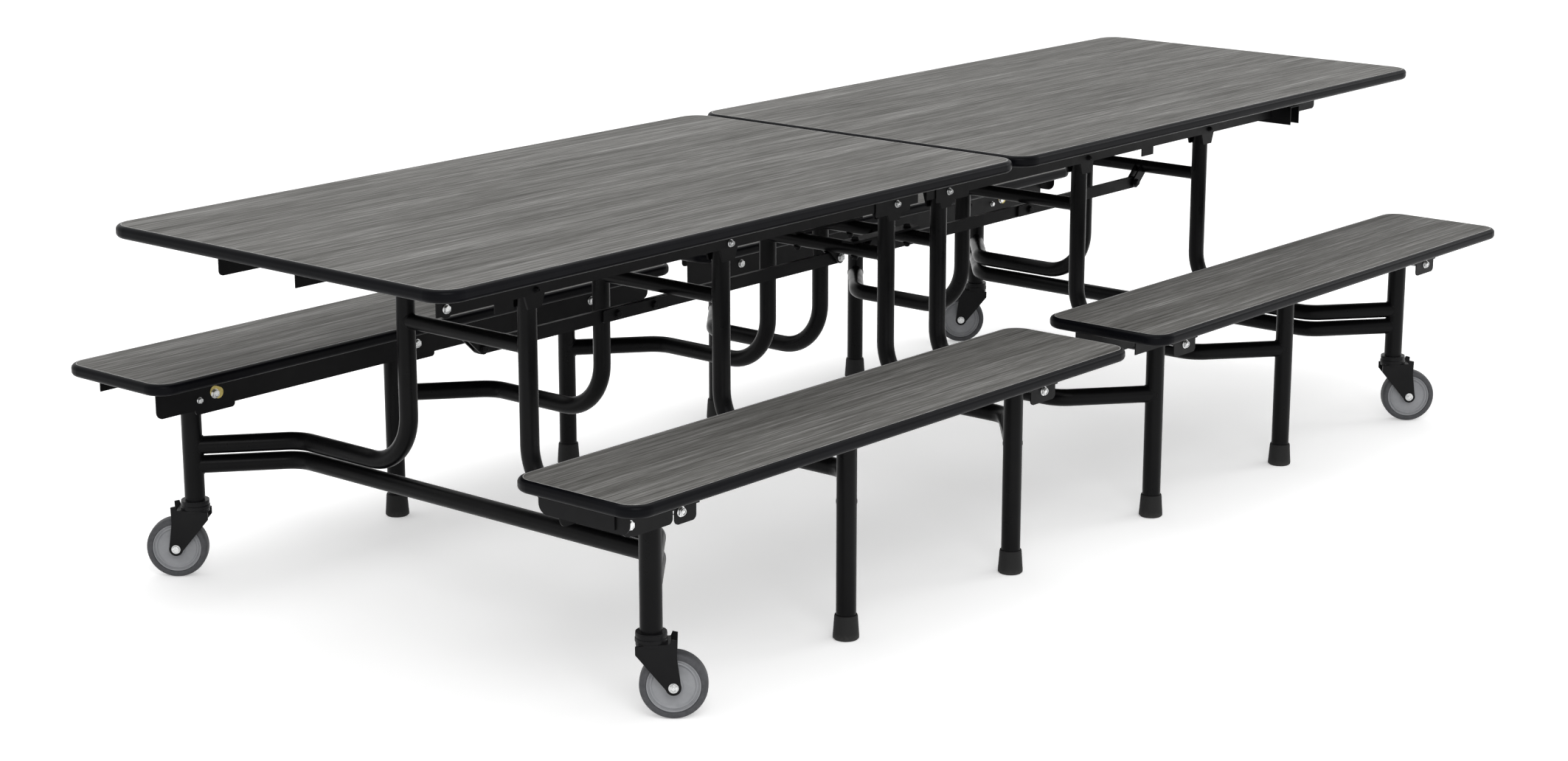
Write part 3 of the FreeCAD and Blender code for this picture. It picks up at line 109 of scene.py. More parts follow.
def mottled(name, cloud, stops, relief, roughness, specular=None, metallic=0.0):
    """Cloudy colour over a fine relief, with an even or an uneven gloss.

    cloud is the scale, detail and roughness of the noise that carries the
    colour. relief is such a noise with its strength and depth. roughness is a
    number, or such a noise with the lowest and highest roughness.
    """
    material, nodes, links, shader = new_material(name)
    place = object_place(nodes)
    links.new(ramp(nodes, links, noise(nodes, links, place, *cloud), stops),
              shader.inputs["Base Color"])
    if isinstance(roughness, tuple):
        wear, smooth, rough = roughness
        links.new(spread(nodes, links, noise(nodes, links, place, *wear), (0.3, 0.7),
                         (smooth, rough)), shader.inputs["Roughness"])
    else:
        shader.inputs["Roughness"].default_value = roughness
    shader.inputs["Metallic"].default_value = metallic
    if specular is not None:
        shader.inputs["Specular IOR Level"].default_value = specular
    grit, strength, depth = relief
    bump(nodes, links, shader, noise(nodes, links, place, *grit), strength, depth)
    return material


def seen_directly(nodes, links):
    """1 where the camera, a reflection or clear glass looks, else 0."""
    path = nodes.new("ShaderNodeLightPath")
    total = path.outputs["Is Camera Ray"]
    for ray in ("Is Glossy Ray", "Is Transmission Ray"):
        add = nodes.new("ShaderNodeMath")
        add.operation = "ADD"
        add.use_clamp = True
        links.new(total, add.inputs[0])
        links.new(path.outputs[ray], add.inputs[1])
        total = add.outputs[0]
    return total


floor_paper, nodes, links, shader = new_material("floor_paper")
place = object_place(nodes)
tooth = noise(nodes, links, place, 240.0, 3.0)
links.new(ramp(nodes, links, tooth, [(0.3, (0.90, 0.90, 0.90)), (0.7, (0.93, 0.93, 0.93))]),
          shader.inputs["Base Color"])
shader.inputs["Roughness"].default_value = 0.85
shader.inputs["Specular IOR Level"].default_value = 0.1
shader.inputs["Emission Color"].default_value = (1.0, 1.0, 1.0, 1.0)
lift = nodes.new("ShaderNodeMath")
lift.operation = "MULTIPLY"
lift.inputs[1].default_value = 0.34
links.new(seen_directly(nodes, links), lift.inputs[0])
links.new(lift.outputs[0], shader.inputs["Emission Strength"])

sweep = bmesh.new()
bmesh.ops.create_grid(sweep, x_segments=8, y_segments=8, size=20.0)
floor_mesh = bpy.data.meshes.new("floor")
sweep.to_mesh(floor_mesh)
sweep.free()
floor_mesh.materials.append(floor_paper)
floor = bpy.data.objects.new("floor", floor_mesh)
bpy.context.scene.collection.objects.link(floor)


# Studio light: an even white tent all round, one large soft box high on the
# camera's left, one over the table and a weaker one on the right.
world = bpy.data.worlds.new("studio")
world.use_nodes = True
nodes = world.node_tree.nodes
links = world.node_tree.links
tent = nodes["Background"]
tent.inputs["Color"].default_value = (1.0, 1.0, 1.0, 1.0)
tent.inputs["Strength"].default_value = 0.92
backdrop = nodes.new("ShaderNodeBackground")
backdrop.inputs["Color"].default_value = (1.0, 1.0, 1.0, 1.0)
backdrop.inputs["Strength"].default_value = 1.0
either = nodes.new("ShaderNodeMixShader")
links.new(seen_directly(nodes, links), either.inputs["Fac"])
links.new(tent.outputs["Background"], either.inputs[1])
links.new(backdrop.outputs["Background"], either.inputs[2])
links.new(either.outputs["Shader"], nodes["World Output"].inputs["Surface"])
bpy.context.scene.world = world


def soft_box(name, place, aim, wide, high, watts):
    """A rectangular soft box that faces a point."""
    lamp = bpy.data.lights.new(name, "AREA")
    lamp.shape = "RECTANGLE"
    lamp.size = wide
    lamp.size_y = high
    lamp.energy = watts
    box = bpy.data.objects.new(name, lamp)
    box.location = place
    box.rotation_euler = (Vector(aim) - Vector(place)).to_track_quat("-Z", "Y").to_euler()
    bpy.context.scene.collection.objects.link(box)


soft_box("key", (-3.4, -3.6, 3.6), (0.0, 0.0, 0.4), 2.6, 2.0, 80.0)
soft_box("overhead", (0.2, 0.6, 4.2), (0.0, 0.0, 0.4), 4.4, 2.4, 60.0)
soft_box("side", (4.6, -2.6, 2.6), (0.2, 0.0, 0.4), 2.0, 1.6, 30.0)


# Welded cross frames: bent steel tube, powder coated satin black. The coat
# has a fine orange peel, a little dust in its gloss and no bare metal.
def powder_coat(name, dark, light, gloss_low, gloss_high, peel):
    """Satin black powder coat on steel."""
    return mottled(name, (9.0, 4.0, 0.6), [(0.32, dark), (0.68, light)],
                   relief=((peel, 2.0), 0.12, 0.0004),
                   roughness=((34.0, 5.0, 0.6), gloss_low, gloss_high), specular=0.09)


tube_black = powder_coat("tube_black", (0.0022, 0.0022, 0.0025), (0.0040, 0.0040, 0.0044),
                         0.26, 0.36, 700.0)

SIDES = (("left", -1), ("right", 1))
ROWS = (("near", -1), ("far", 1))
OUTER_POST = {"left": -1.079, "right": 1.047}
MIDDLE_POST = 0.575
CENTRE_POST = 0.084
POST_ROW = 0.153
LEG_ROW = 0.5775
LEG_OFFSET = 0.154
CASTER_LEG_RADIUS = 0.019
LEG_RADIUS = 0.018


def leg_of(x_post):
    """X of the leg that belongs to a post, outward of it."""
    return x_post + math.copysign(LEG_OFFSET, x_post)


def dress(node, material):
    """Give a carried-over solid its finish."""
    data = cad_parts[node].data
    data.materials.clear()
    data.materials.append(material)


for kind in ("caster_frame", "middle_frame", "centre_frame"):
    for side, _ in SIDES:
        dress("%s_%s" % (kind, side), tube_black)


# Weld beads: a run of weld where a stretcher, a bent post tube or the low
# cross tube meets another tube. They are under the same powder coat.
def finish_piece(name, mesh, material, body, smooth=35.0):
    """Close a mesh, turn it outward, shade it and hang it on its body."""
    bmesh.ops.remove_doubles(mesh, verts=mesh.verts, dist=1e-6)
    bmesh.ops.recalc_face_normals(mesh, faces=mesh.faces)
    data = bpy.data.meshes.new(name)
    mesh.to_mesh(data)
    mesh.free()
    data.materials.append(material)
    for face in data.polygons:
        face.use_smooth = True
    data.set_sharp_from_angle(angle=math.radians(smooth))
    piece = bpy.data.objects.new(name, data)
    bpy.context.scene.collection.objects.link(piece)
    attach(piece, body)
    return piece


def join(mesh, part, place):
    """Set a small part at its place and add it to a mesh."""
    bmesh.ops.transform(part, matrix=place, verts=part.verts)
    data = bpy.data.meshes.new("part")
    part.to_mesh(data)
    part.free()
    mesh.from_mesh(data)
    bpy.data.meshes.remove(data)


def weld_bead(mesh, centre, along, across, tube, onto, bead=0.0017):
    """Bead round a tube where it meets a second tube that runs across it."""
    part = bmesh.new()
    bmesh.ops.create_circle(part, segments=8, radius=bead,
                            matrix=Matrix.Translation((tube, 0.0, 0.0))
                            @ Matrix.Rotation(math.pi / 2, 4, "X"))
    bmesh.ops.spin(part, geom=part.verts[:] + part.edges[:], cent=(0, 0, 0),
                   axis=(0, 0, 1), angle=2 * math.pi, steps=40, use_merge=True)
    for vertex in part.verts:
        reach = min(abs(vertex.co.x), onto)
        vertex.co.z += math.sqrt(onto * onto - reach * reach)
    run = Vector(along).normalized()
    second = Vector(across).normalized()
    lateral = second.cross(run).normalized()
    turn = Matrix((lateral, run.cross(lateral), run)).transposed().to_4x4()
    join(mesh, part, Matrix.Translation(centre) @ turn)


POSTS = {"caster_frame_left": OUTER_POST["left"], "middle_frame_left": -MIDDLE_POST,
         "centre_frame_left": -CENTRE_POST, "centre_frame_right": CENTRE_POST,
         "middle_frame_right": MIDDLE_POST, "caster_frame_right": OUTER_POST["right"]}
FRAME_BODY = {"centre_frame_left": "centre_carriage", "centre_frame_right": "centre_carriage"}
STRETCHER_LEVEL = 0.528
HOOP_LEVEL = 0.252
CROSS_LEVEL = 0.215
for frame_name, x_post in POSTS.items():
    x_leg = leg_of(x_post)
    casters = frame_name.startswith("caster")
    leg_radius = CASTER_LEG_RADIUS if casters else LEG_RADIUS
    beads = bmesh.new()
    for _, row in ROWS:
        weld_bead(beads, (x_post, row * POST_ROW, STRETCHER_LEVEL), (0, -row, 0), (0, 0, 1),
                  0.0142, 0.017)
        run_in = Vector((math.copysign(LEG_OFFSET, -x_post), -row * 0.1275, 0.0))
        for level in (HOOP_LEVEL, CROSS_LEVEL) if casters else (HOOP_LEVEL,):
            weld_bead(beads, (x_leg, row * LEG_ROW, level), run_in, (0, 0, 1), 0.0172,
                      leg_radius)
    finish_piece("welds_" + frame_name, beads, tube_black,
                 FRAME_BODY.get(frame_name, frame_name))


# Tube plugs: low domed caps of black nylon pushed into the open upper ends
# of the legs, under the benches, and of the posts, under the table top.
moulded_black = mottled("moulded_black", (60.0, 3.0),
                        [(0.35, (0.010, 0.010, 0.011)), (0.65, (0.016, 0.016, 0.017))],
                        relief=((1500.0, 2.0), 0.15, 0.0002), roughness=0.55, specular=0.3)
POST_TOP = 0.652
LEG_TOP = 0.383


def turned(mesh, profile, place, steps=32, closed=False):
    """Spin (radius, height) pairs about Z and set the body at a place."""
    part = bmesh.new()
    line = [part.verts.new((radius, 0.0, height)) for radius, height in profile]
    pairs = list(zip(line, line[1:]))
    if closed:
        pairs.append((line[-1], line[0]))
    edges = [part.edges.new(pair) for pair in pairs]
    bmesh.ops.spin(part, geom=line + edges, cent=(0, 0, 0), axis=(0, 0, 1),
                   angle=2 * math.pi, steps=steps, use_merge=True)
    join(mesh, part, place)


for frame_name, x_post in POSTS.items():
    plugs = bmesh.new()
    for _, row in ROWS:
        for x_plug, y_plug, top, radius in ((x_post, POST_ROW, POST_TOP, 0.0168),
                                            (leg_of(x_post), LEG_ROW, LEG_TOP, 0.0178)):
            turned(plugs, [(0.0, -0.010), (radius - 0.003, -0.010), (radius - 0.003, 0.0001),
                           (radius, 0.0001), (radius, 0.0012), (radius - 0.0015, 0.0026),
                           (radius * 0.5, 0.0034), (0.0, 0.0036)],
                   Matrix.Translation((x_plug, row * y_plug, top)), steps=28)
    finish_piece("plugs_" + frame_name, plugs, moulded_black,
                 FRAME_BODY.get(frame_name, frame_name))


# Rubber feet: moulded black rubber cups over the lower ends of the footed
# legs, dull, with floor dust low on their sides.
foot_rubber, nodes, links, shader = new_material("foot_rubber")
place = object_place(nodes)
height = nodes.new("ShaderNodeSeparateXYZ")
links.new(place, height.inputs["Vector"])
worn = nodes.new("ShaderNodeMath")
worn.operation = "MULTIPLY_ADD"
worn.inputs[1].default_value = 0.02
links.new(noise(nodes, links, place, 220.0, 4.0, 0.65), worn.inputs[0])
links.new(height.outputs["Z"], worn.inputs[2])
links.new(ramp(nodes, links, worn.outputs[0],
               [(0.010, (0.034, 0.033, 0.032)), (0.022, (0.013, 0.013, 0.013)),
                (0.060, (0.010, 0.010, 0.010))]),
          shader.inputs["Base Color"])
shader.inputs["Roughness"].default_value = 0.72
shader.inputs["Specular IOR Level"].default_value = 0.25
bump(nodes, links, shader, noise(nodes, links, place, 900.0, 3.0), 0.2, 0.0003)
for node in ("feet_middle_left", "feet_middle_right", "feet_centre"):
    dress(node, foot_rubber)


# Rails, cross ties, bench channels and link bars: folded sheet steel and
# strip in the same black coat, a little flatter in gloss than the tubes.
sheet_black = powder_coat("sheet_black", (0.0030, 0.0030, 0.0034), (0.0058, 0.0058, 0.0063),
                          0.36, 0.48, 620.0)
for side, _ in SIDES:
    for node in ("top_tie_", "link_bar_"):
        dress(node + side, sheet_black)
    for row_name, _ in ROWS:
        dress("top_rail_%s_%s" % (side, row_name), sheet_black)
        dress("bench_channel_%s_%s" % (side, row_name), sheet_black)
for node in ("release_bar", "tie_plates"):
    dress(node, sheet_black)


# Hinge plates at the middle of the table: a deeper steel plate lies on the
# inner end of every rail, where the tops hang on the centre frames.
RAIL_FACE = 0.1765
HINGE_PLATE_THICK = 0.0025


def rounded_sheet(wide, deep, corner, steps):
    """One flat face with round corners, centred on the origin."""
    part = bmesh.new()
    bmesh.ops.create_grid(part, x_segments=1, y_segments=1, size=0.5)
    bmesh.ops.scale(part, vec=(wide, deep, 1.0), verts=part.verts)
    bmesh.ops.bevel(part, geom=part.verts[:], offset=corner, segments=steps, profile=0.5,
                    affect="VERTICES", material=-1)
    return part


def thicken(part, thick):
    """Give flat faces a thickness along Z."""
    lifted = bmesh.ops.extrude_face_region(part, geom=part.faces[:])
    top = [item for item in lifted["geom"] if isinstance(item, bmesh.types.BMVert)]
    bmesh.ops.translate(part, vec=(0.0, 0.0, thick), verts=top)


def flat_plate(mesh, x_range, z_range, y_range, corner):
    """Upright plate along X with round corners."""
    low, high = sorted(x_range)
    part = rounded_sheet(high - low, z_range[1] - z_range[0], corner, 6)
    thicken(part, abs(y_range[1] - y_range[0]))
    join(mesh, part, Matrix.Translation(((low + high) / 2, max(y_range), sum(z_range) / 2))
         @ Matrix.Rotation(math.pi / 2, 4, "X"))


for side, s in SIDES:
    plates = bmesh.new()
    for _, row in ROWS:
        y_face = row * RAIL_FACE
        flat_plate(plates, (s * 0.042, s * 0.150), (0.613, 0.700),
                   (y_face, y_face + row * HINGE_PLATE_THICK), 0.006)
    finish_piece("hinge_plates_" + side, plates, sheet_black, "top_" + side)


# Screws of the boards: pan heads driven up through the rail flanges into the
# top, and through the channels into the benches. Black, with a round recess.
# The near left rail is shorter than the others and has one screw less.
RAIL_FLANGE_LEVEL = 0.7125
CHANNEL_LEVEL = 0.3975
RAIL_SCREW_ROW = 0.192
BENCH_ROW = 0.575


def screw_head():
    """Pattern of one pan head, pointing down from the sheet it holds."""
    mesh = bmesh.new()
    turned(mesh, [(0.0046, 0.0), (0.0046, -0.0010), (0.0040, -0.0022), (0.0026, -0.0028),
                  (0.0012, -0.0029), (0.0010, -0.0018), (0.0, -0.0016)],
           Matrix.Identity(4), steps=16)
    pattern = bpy.data.meshes.new("screw_pattern")
    mesh.to_mesh(pattern)
    mesh.free()
    return pattern


def stamp(mesh, pattern, place):
    """Add a copy of a small pattern at a place."""
    part = bmesh.new()
    part.from_mesh(pattern)
    join(mesh, part, place)


pan_head = screw_head()
for side, s in SIDES:
    screws = bmesh.new()
    for _, row in ROWS:
        for k in range(7 if s == row == -1 else 8):
            stamp(screws, pan_head, Matrix.Translation(
                (s * (0.060 + 0.195 * k), row * RAIL_SCREW_ROW, RAIL_FLANGE_LEVEL)))
    finish_piece("top_screws_" + side, screws, moulded_black, "top_" + side)
    for row_name, row in ROWS:
        screws = bmesh.new()
        for k in range(6):
            for offset in (-0.034, 0.034):
                stamp(screws, pan_head, Matrix.Translation(
                    (s * (0.110 + 0.250 * k), row * BENCH_ROW + offset, CHANNEL_LEVEL)))
        finish_piece("bench_screws_%s_%s" % (side, row_name), screws, moulded_black,
                     "bench_%s_%s" % (side, row_name))


# Boards: grey oak laminate on a core board, the print's grain along the
# table. The underside is a plain warm grey backing sheet.
# (The numbers are a mix node's colour sockets, whose names aren't unique.)
MIX_UNDER, MIX_ABOVE, MIX_RESULT = 6, 7, 2


def woodgrain(name, shift, seen_above):
    """Grey oak print over a height, plain backing sheet under it."""
    material, nodes, links, shader = new_material(name)
    place = object_place(nodes)

    def streaks(stretch, detail, roughness=0.55):
        """Noise drawn out along the board."""
        mapping = nodes.new("ShaderNodeMapping")
        mapping.inputs["Location"].default_value = shift
        mapping.inputs["Scale"].default_value = stretch
        links.new(place, mapping.inputs["Vector"])
        return noise(nodes, links, mapping.outputs["Vector"], 1.0, detail, roughness)

    def blend(first, second, share):
        """Two values mixed, share of the second."""
        mix = nodes.new("ShaderNodeMix")
        mix.inputs["Factor"].default_value = share
        links.new(first, mix.inputs["A"])
        links.new(second, mix.inputs["B"])
        return mix.outputs["Result"]

    pores = streaks((24.0, 840.0, 1.0), 4.0, 0.6)
    grain = streaks((4.2, 235.0, 1.0), 5.0, 0.66)
    bands = streaks((1.1, 26.0, 1.0), 3.0)
    figure = blend(blend(grain, pores, 0.36), bands, 0.20)
    print_colour = ramp(nodes, links, figure,
                        [(0.37, (0.042, 0.041, 0.038)), (0.46, (0.092, 0.090, 0.085)),
                         (0.53, (0.128, 0.126, 0.120)), (0.63, (0.245, 0.242, 0.234))])
    paper = ramp(nodes, links, noise(nodes, links, place, 160.0, 4.0),
                 [(0.35, (0.105, 0.098, 0.088)), (0.65, (0.130, 0.122, 0.110))])
    split = nodes.new("ShaderNodeSeparateXYZ")
    links.new(place, split.inputs["Vector"])
    above = nodes.new("ShaderNodeMath")
    above.operation = "GREATER_THAN"
    above.inputs[1].default_value = seen_above
    links.new(split.outputs["Z"], above.inputs[0])
    face = nodes.new("ShaderNodeMix")
    face.data_type = "RGBA"
    links.new(above.outputs[0], face.inputs["Factor"])
    links.new(paper, face.inputs[MIX_UNDER])
    links.new(print_colour, face.inputs[MIX_ABOVE])
    links.new(face.outputs[MIX_RESULT], shader.inputs["Base Color"])
    links.new(spread(nodes, links, grain, (0.35, 0.65), (0.52, 0.42)),
              shader.inputs["Roughness"])
    shader.inputs["Specular IOR Level"].default_value = 0.02
    bump(nodes, links, shader, pores, 0.18, 0.0003)
    return material


for side, s in (("left", 0.0), ("right", 7.3)):
    dress("top_board_" + side, woodgrain("laminate_top_" + side, (s, 3.1 + s, 0.0), 0.730))
    for row, r in (("near", 1.7), ("far", 4.9)):
        dress("bench_board_%s_%s" % (side, row),
              woodgrain("laminate_bench_%s_%s" % (side, row), (s + r, r, 0.0), 0.415))


# Edge bands: a thick bumper of black urethane moulded right round every
# board, satin, with the faint blue cast and slight waviness of the casting.
bumper_black = mottled("bumper_black", (14.0, 4.0, 0.6),
                       [(0.3, (0.0012, 0.0013, 0.0020)), (0.7, (0.0024, 0.0026, 0.0038))],
                       relief=((420.0, 3.0), 0.12, 0.0004),
                       roughness=((90.0, 5.0, 0.6), 0.30, 0.38), specular=0.06)
for side, _ in SIDES:
    dress("top_band_" + side, bumper_black)
    for row_name, _ in ROWS:
        dress("bench_band_%s_%s" % (side, row_name), bumper_black)


# Edge line: the bevelled rim of the laminate sheet, which shows as a thin
# pale line between the print and the bumper on every board.
rim_pale = mottled("rim_pale", (45.0, 5.0, 0.7),
                   [(0.34, (0.20, 0.20, 0.195)), (0.62, (0.46, 0.455, 0.445))],
                   relief=((300.0, 3.0), 0.1, 0.0002), roughness=0.4)
TOP_LEVEL = 0.737
BENCH_LEVEL = 0.422
BAND_WIDTH = 0.0088


def rim_line(name, low, high, level, corner, body):
    """Narrow raised line round a board at the seam with its bumper."""
    mesh = rounded_sheet(high[0] - low[0], high[1] - low[1], corner, 10)
    bmesh.ops.inset_region(mesh, faces=mesh.faces[:], thickness=0.0011,
                           use_boundary=True, use_even_offset=True)
    centre = max(mesh.faces, key=lambda face: len(face.verts))
    bmesh.ops.delete(mesh, geom=[centre], context="FACES")
    thicken(mesh, 0.0010)
    bmesh.ops.translate(mesh, verts=mesh.verts,
                        vec=((low[0] + high[0]) / 2, (low[1] + high[1]) / 2, level - 0.0008))
    finish_piece(name, mesh, rim_pale, body)


for side, s in SIDES:
    ends = sorted((s * 0.004, s * 1.524))
    rim_line("top_rim_" + side, (ends[0] + BAND_WIDTH, -0.4102), (ends[1] - BAND_WIDTH, 0.4102),
             TOP_LEVEL, 0.039, "top_" + side)
    ends = sorted((s * 0.048, s * 1.414))
    for row_name, row in ROWS:
        rim_line("bench_rim_%s_%s" % (side, row_name),
                 (ends[0] + BAND_WIDTH, row * BENCH_ROW - 0.1312),
                 (ends[1] - BAND_WIDTH, row * BENCH_ROW + 0.1312), BENCH_LEVEL, 0.033,
                 "bench_%s_%s" % (side, row_name))


# Bolts: plated steel. The ones in shade get the black sheet coat instead of the zinc,
# a painted shade. Each hinge pin has a hexagon head on one side and a locking nut
# with a round collar on the other.
zinc = mottled("zinc_plate", (260.0, 4.0, 0.65),
               [(0.3, (0.52, 0.53, 0.54)), (0.7, (0.80, 0.80, 0.79))],
               relief=((1200.0, 2.0), 0.08, 0.0002), roughness=((700.0, 3.0), 0.20, 0.38),
               metallic=1.0)
M8_FLATS = 0.0130
M8_RADIUS = 0.004
PIN_RADIUS = 0.005
HINGE_LEVEL = 0.632
TAB_BOLT = (-1.290, 0.635)


def hexagon(mesh, flats, low, high, chamfer, place):
    """Hexagonal nut or head with its upper corners chamfered."""
    part = bmesh.new()
    bmesh.ops.create_cone(part, cap_ends=True, cap_tris=False, segments=6,
                          radius1=flats / math.sqrt(3), radius2=flats / math.sqrt(3),
                          depth=high - low,
                          matrix=Matrix.Translation((0.0, 0.0, (low + high) / 2)))
    middle = (low + high) / 2
    rim = [edge for edge in part.edges if min(v.co.z for v in edge.verts) > middle]
    bmesh.ops.bevel(part, geom=rim, offset=chamfer, segments=3, profile=0.5,
                    affect="EDGES", material=-1)
    join(mesh, part, place)


def washer(mesh, radius, thick, place):
    """Plain round washer with eased edges."""
    turned(mesh, [(0.0, 0.0), (radius, 0.0), (radius + 0.0003, thick / 2), (radius, thick),
                  (0.0, thick)], place, steps=32)


def bolt_head(mesh, flats, place):
    """Washer and hexagon head with a turned face, standing up along Z."""
    washer(mesh, flats * 0.64, 0.0012, place)
    hexagon(mesh, flats, 0.0012, 0.0056, 0.0008, place)
    turned(mesh, [(flats * 0.44, 0.0054), (flats * 0.44, 0.0059), (flats * 0.30, 0.0061),
                  (flats * 0.28, 0.0057), (0.0, 0.0057)], place, steps=24)


def lock_nut(mesh, flats, place):
    """Washer, hexagon nut, round collar and the end of the thread in it."""
    washer(mesh, flats * 0.64, 0.0012, place)
    hexagon(mesh, flats, 0.0012, 0.0048, 0.0007, place)
    collar = flats * 0.44
    turned(mesh, [(collar, 0.0046), (collar, 0.0062), (collar - 0.0006, 0.0070),
                  (collar - 0.0014, 0.0072), (collar - 0.0019, 0.0070),
                  (collar - 0.0021, 0.0060), (collar - 0.0021, 0.0046)], place, steps=24)
    turned(mesh, [(collar - 0.0028, 0.0046), (collar - 0.0028, 0.0064),
                  (collar - 0.0036, 0.0069), (0.0, 0.0069)], place, steps=24)


def facing(place, outward):
    """A place whose Z axis points along a direction."""
    turn = Vector(outward).to_track_quat("Z", "Y").to_matrix().to_4x4()
    return Matrix.Translation(place) @ turn


def shank(mesh, start, end, radius):
    """Round shank between two points."""
    run = Vector(end) - Vector(start)
    turned(mesh, [(0.0, 0.0), (radius, 0.0), (radius, run.length), (0.0, run.length)],
           facing(start, run), steps=24)


def blacken(mesh, first):
    """The second material, a black coat, for the faces added since a count."""
    for face in list(mesh.faces)[first:]:
        face.material_index = 1


def top_hinge_bolt(mesh, x_pin, row, flats):
    """Pin of a top hinge through rail and post, its nut on the outside."""
    lift = HINGE_PLATE_THICK if abs(x_pin) == CENTRE_POST else 0.0
    shank(mesh, (x_pin, row * 0.1265, HINGE_LEVEL), (x_pin, row * 0.1766, HINGE_LEVEL),
          PIN_RADIUS)
    lock_nut(mesh, flats, facing((x_pin, row * (RAIL_FACE + lift), HINGE_LEVEL), (0, row, 0)))
    bolt_head(mesh, 0.0142, facing((x_pin, row * 0.133, HINGE_LEVEL), (0, -row, 0)))


for side, s in SIDES:
    bolts = bmesh.new()
    places = [(x_pin, row) for _, row in ROWS
              for x_pin in (OUTER_POST[side], s * MIDDLE_POST, s * CENTRE_POST)]
    # Painted shade: only these bolts keep the zinc; the others lie in shade and are painted
    # black.
    lit_places = [(x, row) for x, row in places
              if abs(x) == CENTRE_POST or x * row == MIDDLE_POST]
    for x_pin, row in lit_places:
        top_hinge_bolt(bolts, x_pin, row, 0.0112)
    if s < 0:
        x_bolt, level = TAB_BOLT
        shank(bolts, (x_bolt, -0.166, level), (x_bolt, -0.1766, level), PIN_RADIUS)
        bolt_head(bolts, 0.0125, facing((x_bolt, -RAIL_FACE, level), (0, -1, 0)))
        lock_nut(bolts, 0.0142, facing((x_bolt, -0.174, level), (0, 1, 0)))
    # The bolts in shade get the second, black material: a painted shade.
    first = len(bolts.faces)
    for x_pin, row in [place for place in places if place not in lit_places]:
        top_hinge_bolt(bolts, x_pin, row, 0.0090)
    blacken(bolts, first)
    piece = finish_piece("top_hinge_bolts_" + side, bolts, zinc, "top_" + side)
    piece.data.materials.append(sheet_black)
    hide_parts("top_bolts_" + side)


# Bench bolts: the pin of each leg runs through the deep flange, a spacer and
# the leg, and at the caster and centre legs through a bracket too. The near
# left and far right benches have a second short bolt in the outer bracket.
BENCH_PIN_LEVEL = 0.364
BRACKET_BOLT_LEVEL = 0.369
BENCH_PIN_FLATS = 0.0138
SPACER_RADIUS = 0.0085
BRACKET_OUTSIDE = 0.645
BRACKET_INSIDE = 0.6425
for side, s in SIDES:
    for row_name, row in ROWS:
        bolts = bmesh.new()
        for post in (OUTER_POST[side], s * MIDDLE_POST, s * CENTRE_POST):
            x_pin = leg_of(post)
            outermost = post == OUTER_POST[side]
            bracket = abs(post) != MIDDLE_POST
            reach = (CASTER_LEG_RADIUS if outermost else LEG_RADIUS) + 0.0004
            y_end = BRACKET_OUTSIDE if bracket else LEG_ROW + reach

            def at(y, x=x_pin, level=BENCH_PIN_LEVEL, row=row):
                """Point on this row, y away from the table's middle."""
                return (x, row * y, level)

            shank(bolts, at(0.5049), at(y_end), PIN_RADIUS)
            shank(bolts, at(0.5075), at(LEG_ROW - reach), SPACER_RADIUS)
            bolt_head(bolts, BENCH_PIN_FLATS, facing(at(0.505), (0, -row, 0)))
            lock_nut(bolts, BENCH_PIN_FLATS, facing(at(y_end), (0, row, 0)))
            if bracket:
                shank(bolts, at(LEG_ROW + reach), at(BRACKET_INSIDE), SPACER_RADIUS)
            if s == row and outermost:
                place = (x_pin - 0.120, BRACKET_BOLT_LEVEL)
                shank(bolts, at(0.634, *place), at(BRACKET_OUTSIDE, *place), M8_RADIUS)
                bolt_head(bolts, M8_FLATS, facing(at(BRACKET_OUTSIDE, *place), (0, row, 0)))
                lock_nut(bolts, M8_FLATS, facing(at(BRACKET_INSIDE, *place), (0, -row, 0)))
        body = "bench_%s_%s" % (side, row_name)
        piece = finish_piece("bench_hinge_bolts_%s_%s" % (side, row_name), bolts, zinc, body)
        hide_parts("bench_bolts_%s_%s" % (side, row_name))


# Slot washers: at the caster legs the bench pin passes a sloped slot in the
# deep flange, covered by an oval washer of yellow chromated zinc.
yellow_zinc = mottled("yellow_zinc", (320.0, 4.0, 0.65),
                      [(0.3, (0.42, 0.33, 0.10)), (0.7, (0.62, 0.52, 0.20))],
                      relief=((900.0, 2.0), 0.1, 0.0002), roughness=0.40, metallic=0.85)
FLANGE_FACE = 0.505
for side, _ in SIDES:
    x_pin = leg_of(OUTER_POST[side])
    for row_name, row in ROWS:
        oval = rounded_sheet(0.031, 0.0215, 0.0105, 10)
        thicken(oval, 0.0008)
        washers = bmesh.new()
        turn = Matrix.Rotation(math.radians(-24.0 * row), 4, "Z")
        join(washers, oval,
             facing((x_pin + 0.004, row * FLANGE_FACE, 0.366), (0, -row, 0)) @ turn)
        finish_piece("slot_washer_%s_%s" % (side, row_name), washers, yellow_zinc,
                     "bench_%s_%s" % (side, row_name))
        screw = bmesh.new()
        bolt_head(screw, 0.0092,
                  facing((x_pin - 0.036, row * FLANGE_FACE, 0.358), (0, -row, 0)))
        finish_piece("flange_screw_%s_%s" % (side, row_name), screw, zinc,
                     "bench_%s_%s" % (side, row_name))


# Centre carriage bolts: four bolts down through the tie plates and the two
# centre stretchers, their lock nuts underneath.
bolts = bmesh.new()
for x_bolt in (-CENTRE_POST, CENTRE_POST):
    for y_bolt in (-0.074, 0.074):
        shank(bolts, (x_bolt, y_bolt, 0.506), (x_bolt, y_bolt, 0.547), M8_RADIUS)
        bolt_head(bolts, M8_FLATS, facing((x_bolt, y_bolt, 0.547), (0, 0, 1)))
        lock_nut(bolts, M8_FLATS, facing((x_bolt, y_bolt, 0.514), (0, 0, -1)))
piece = finish_piece("carriage_bolts", bolts, sheet_black, "centre_carriage")
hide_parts("tie_bolts")


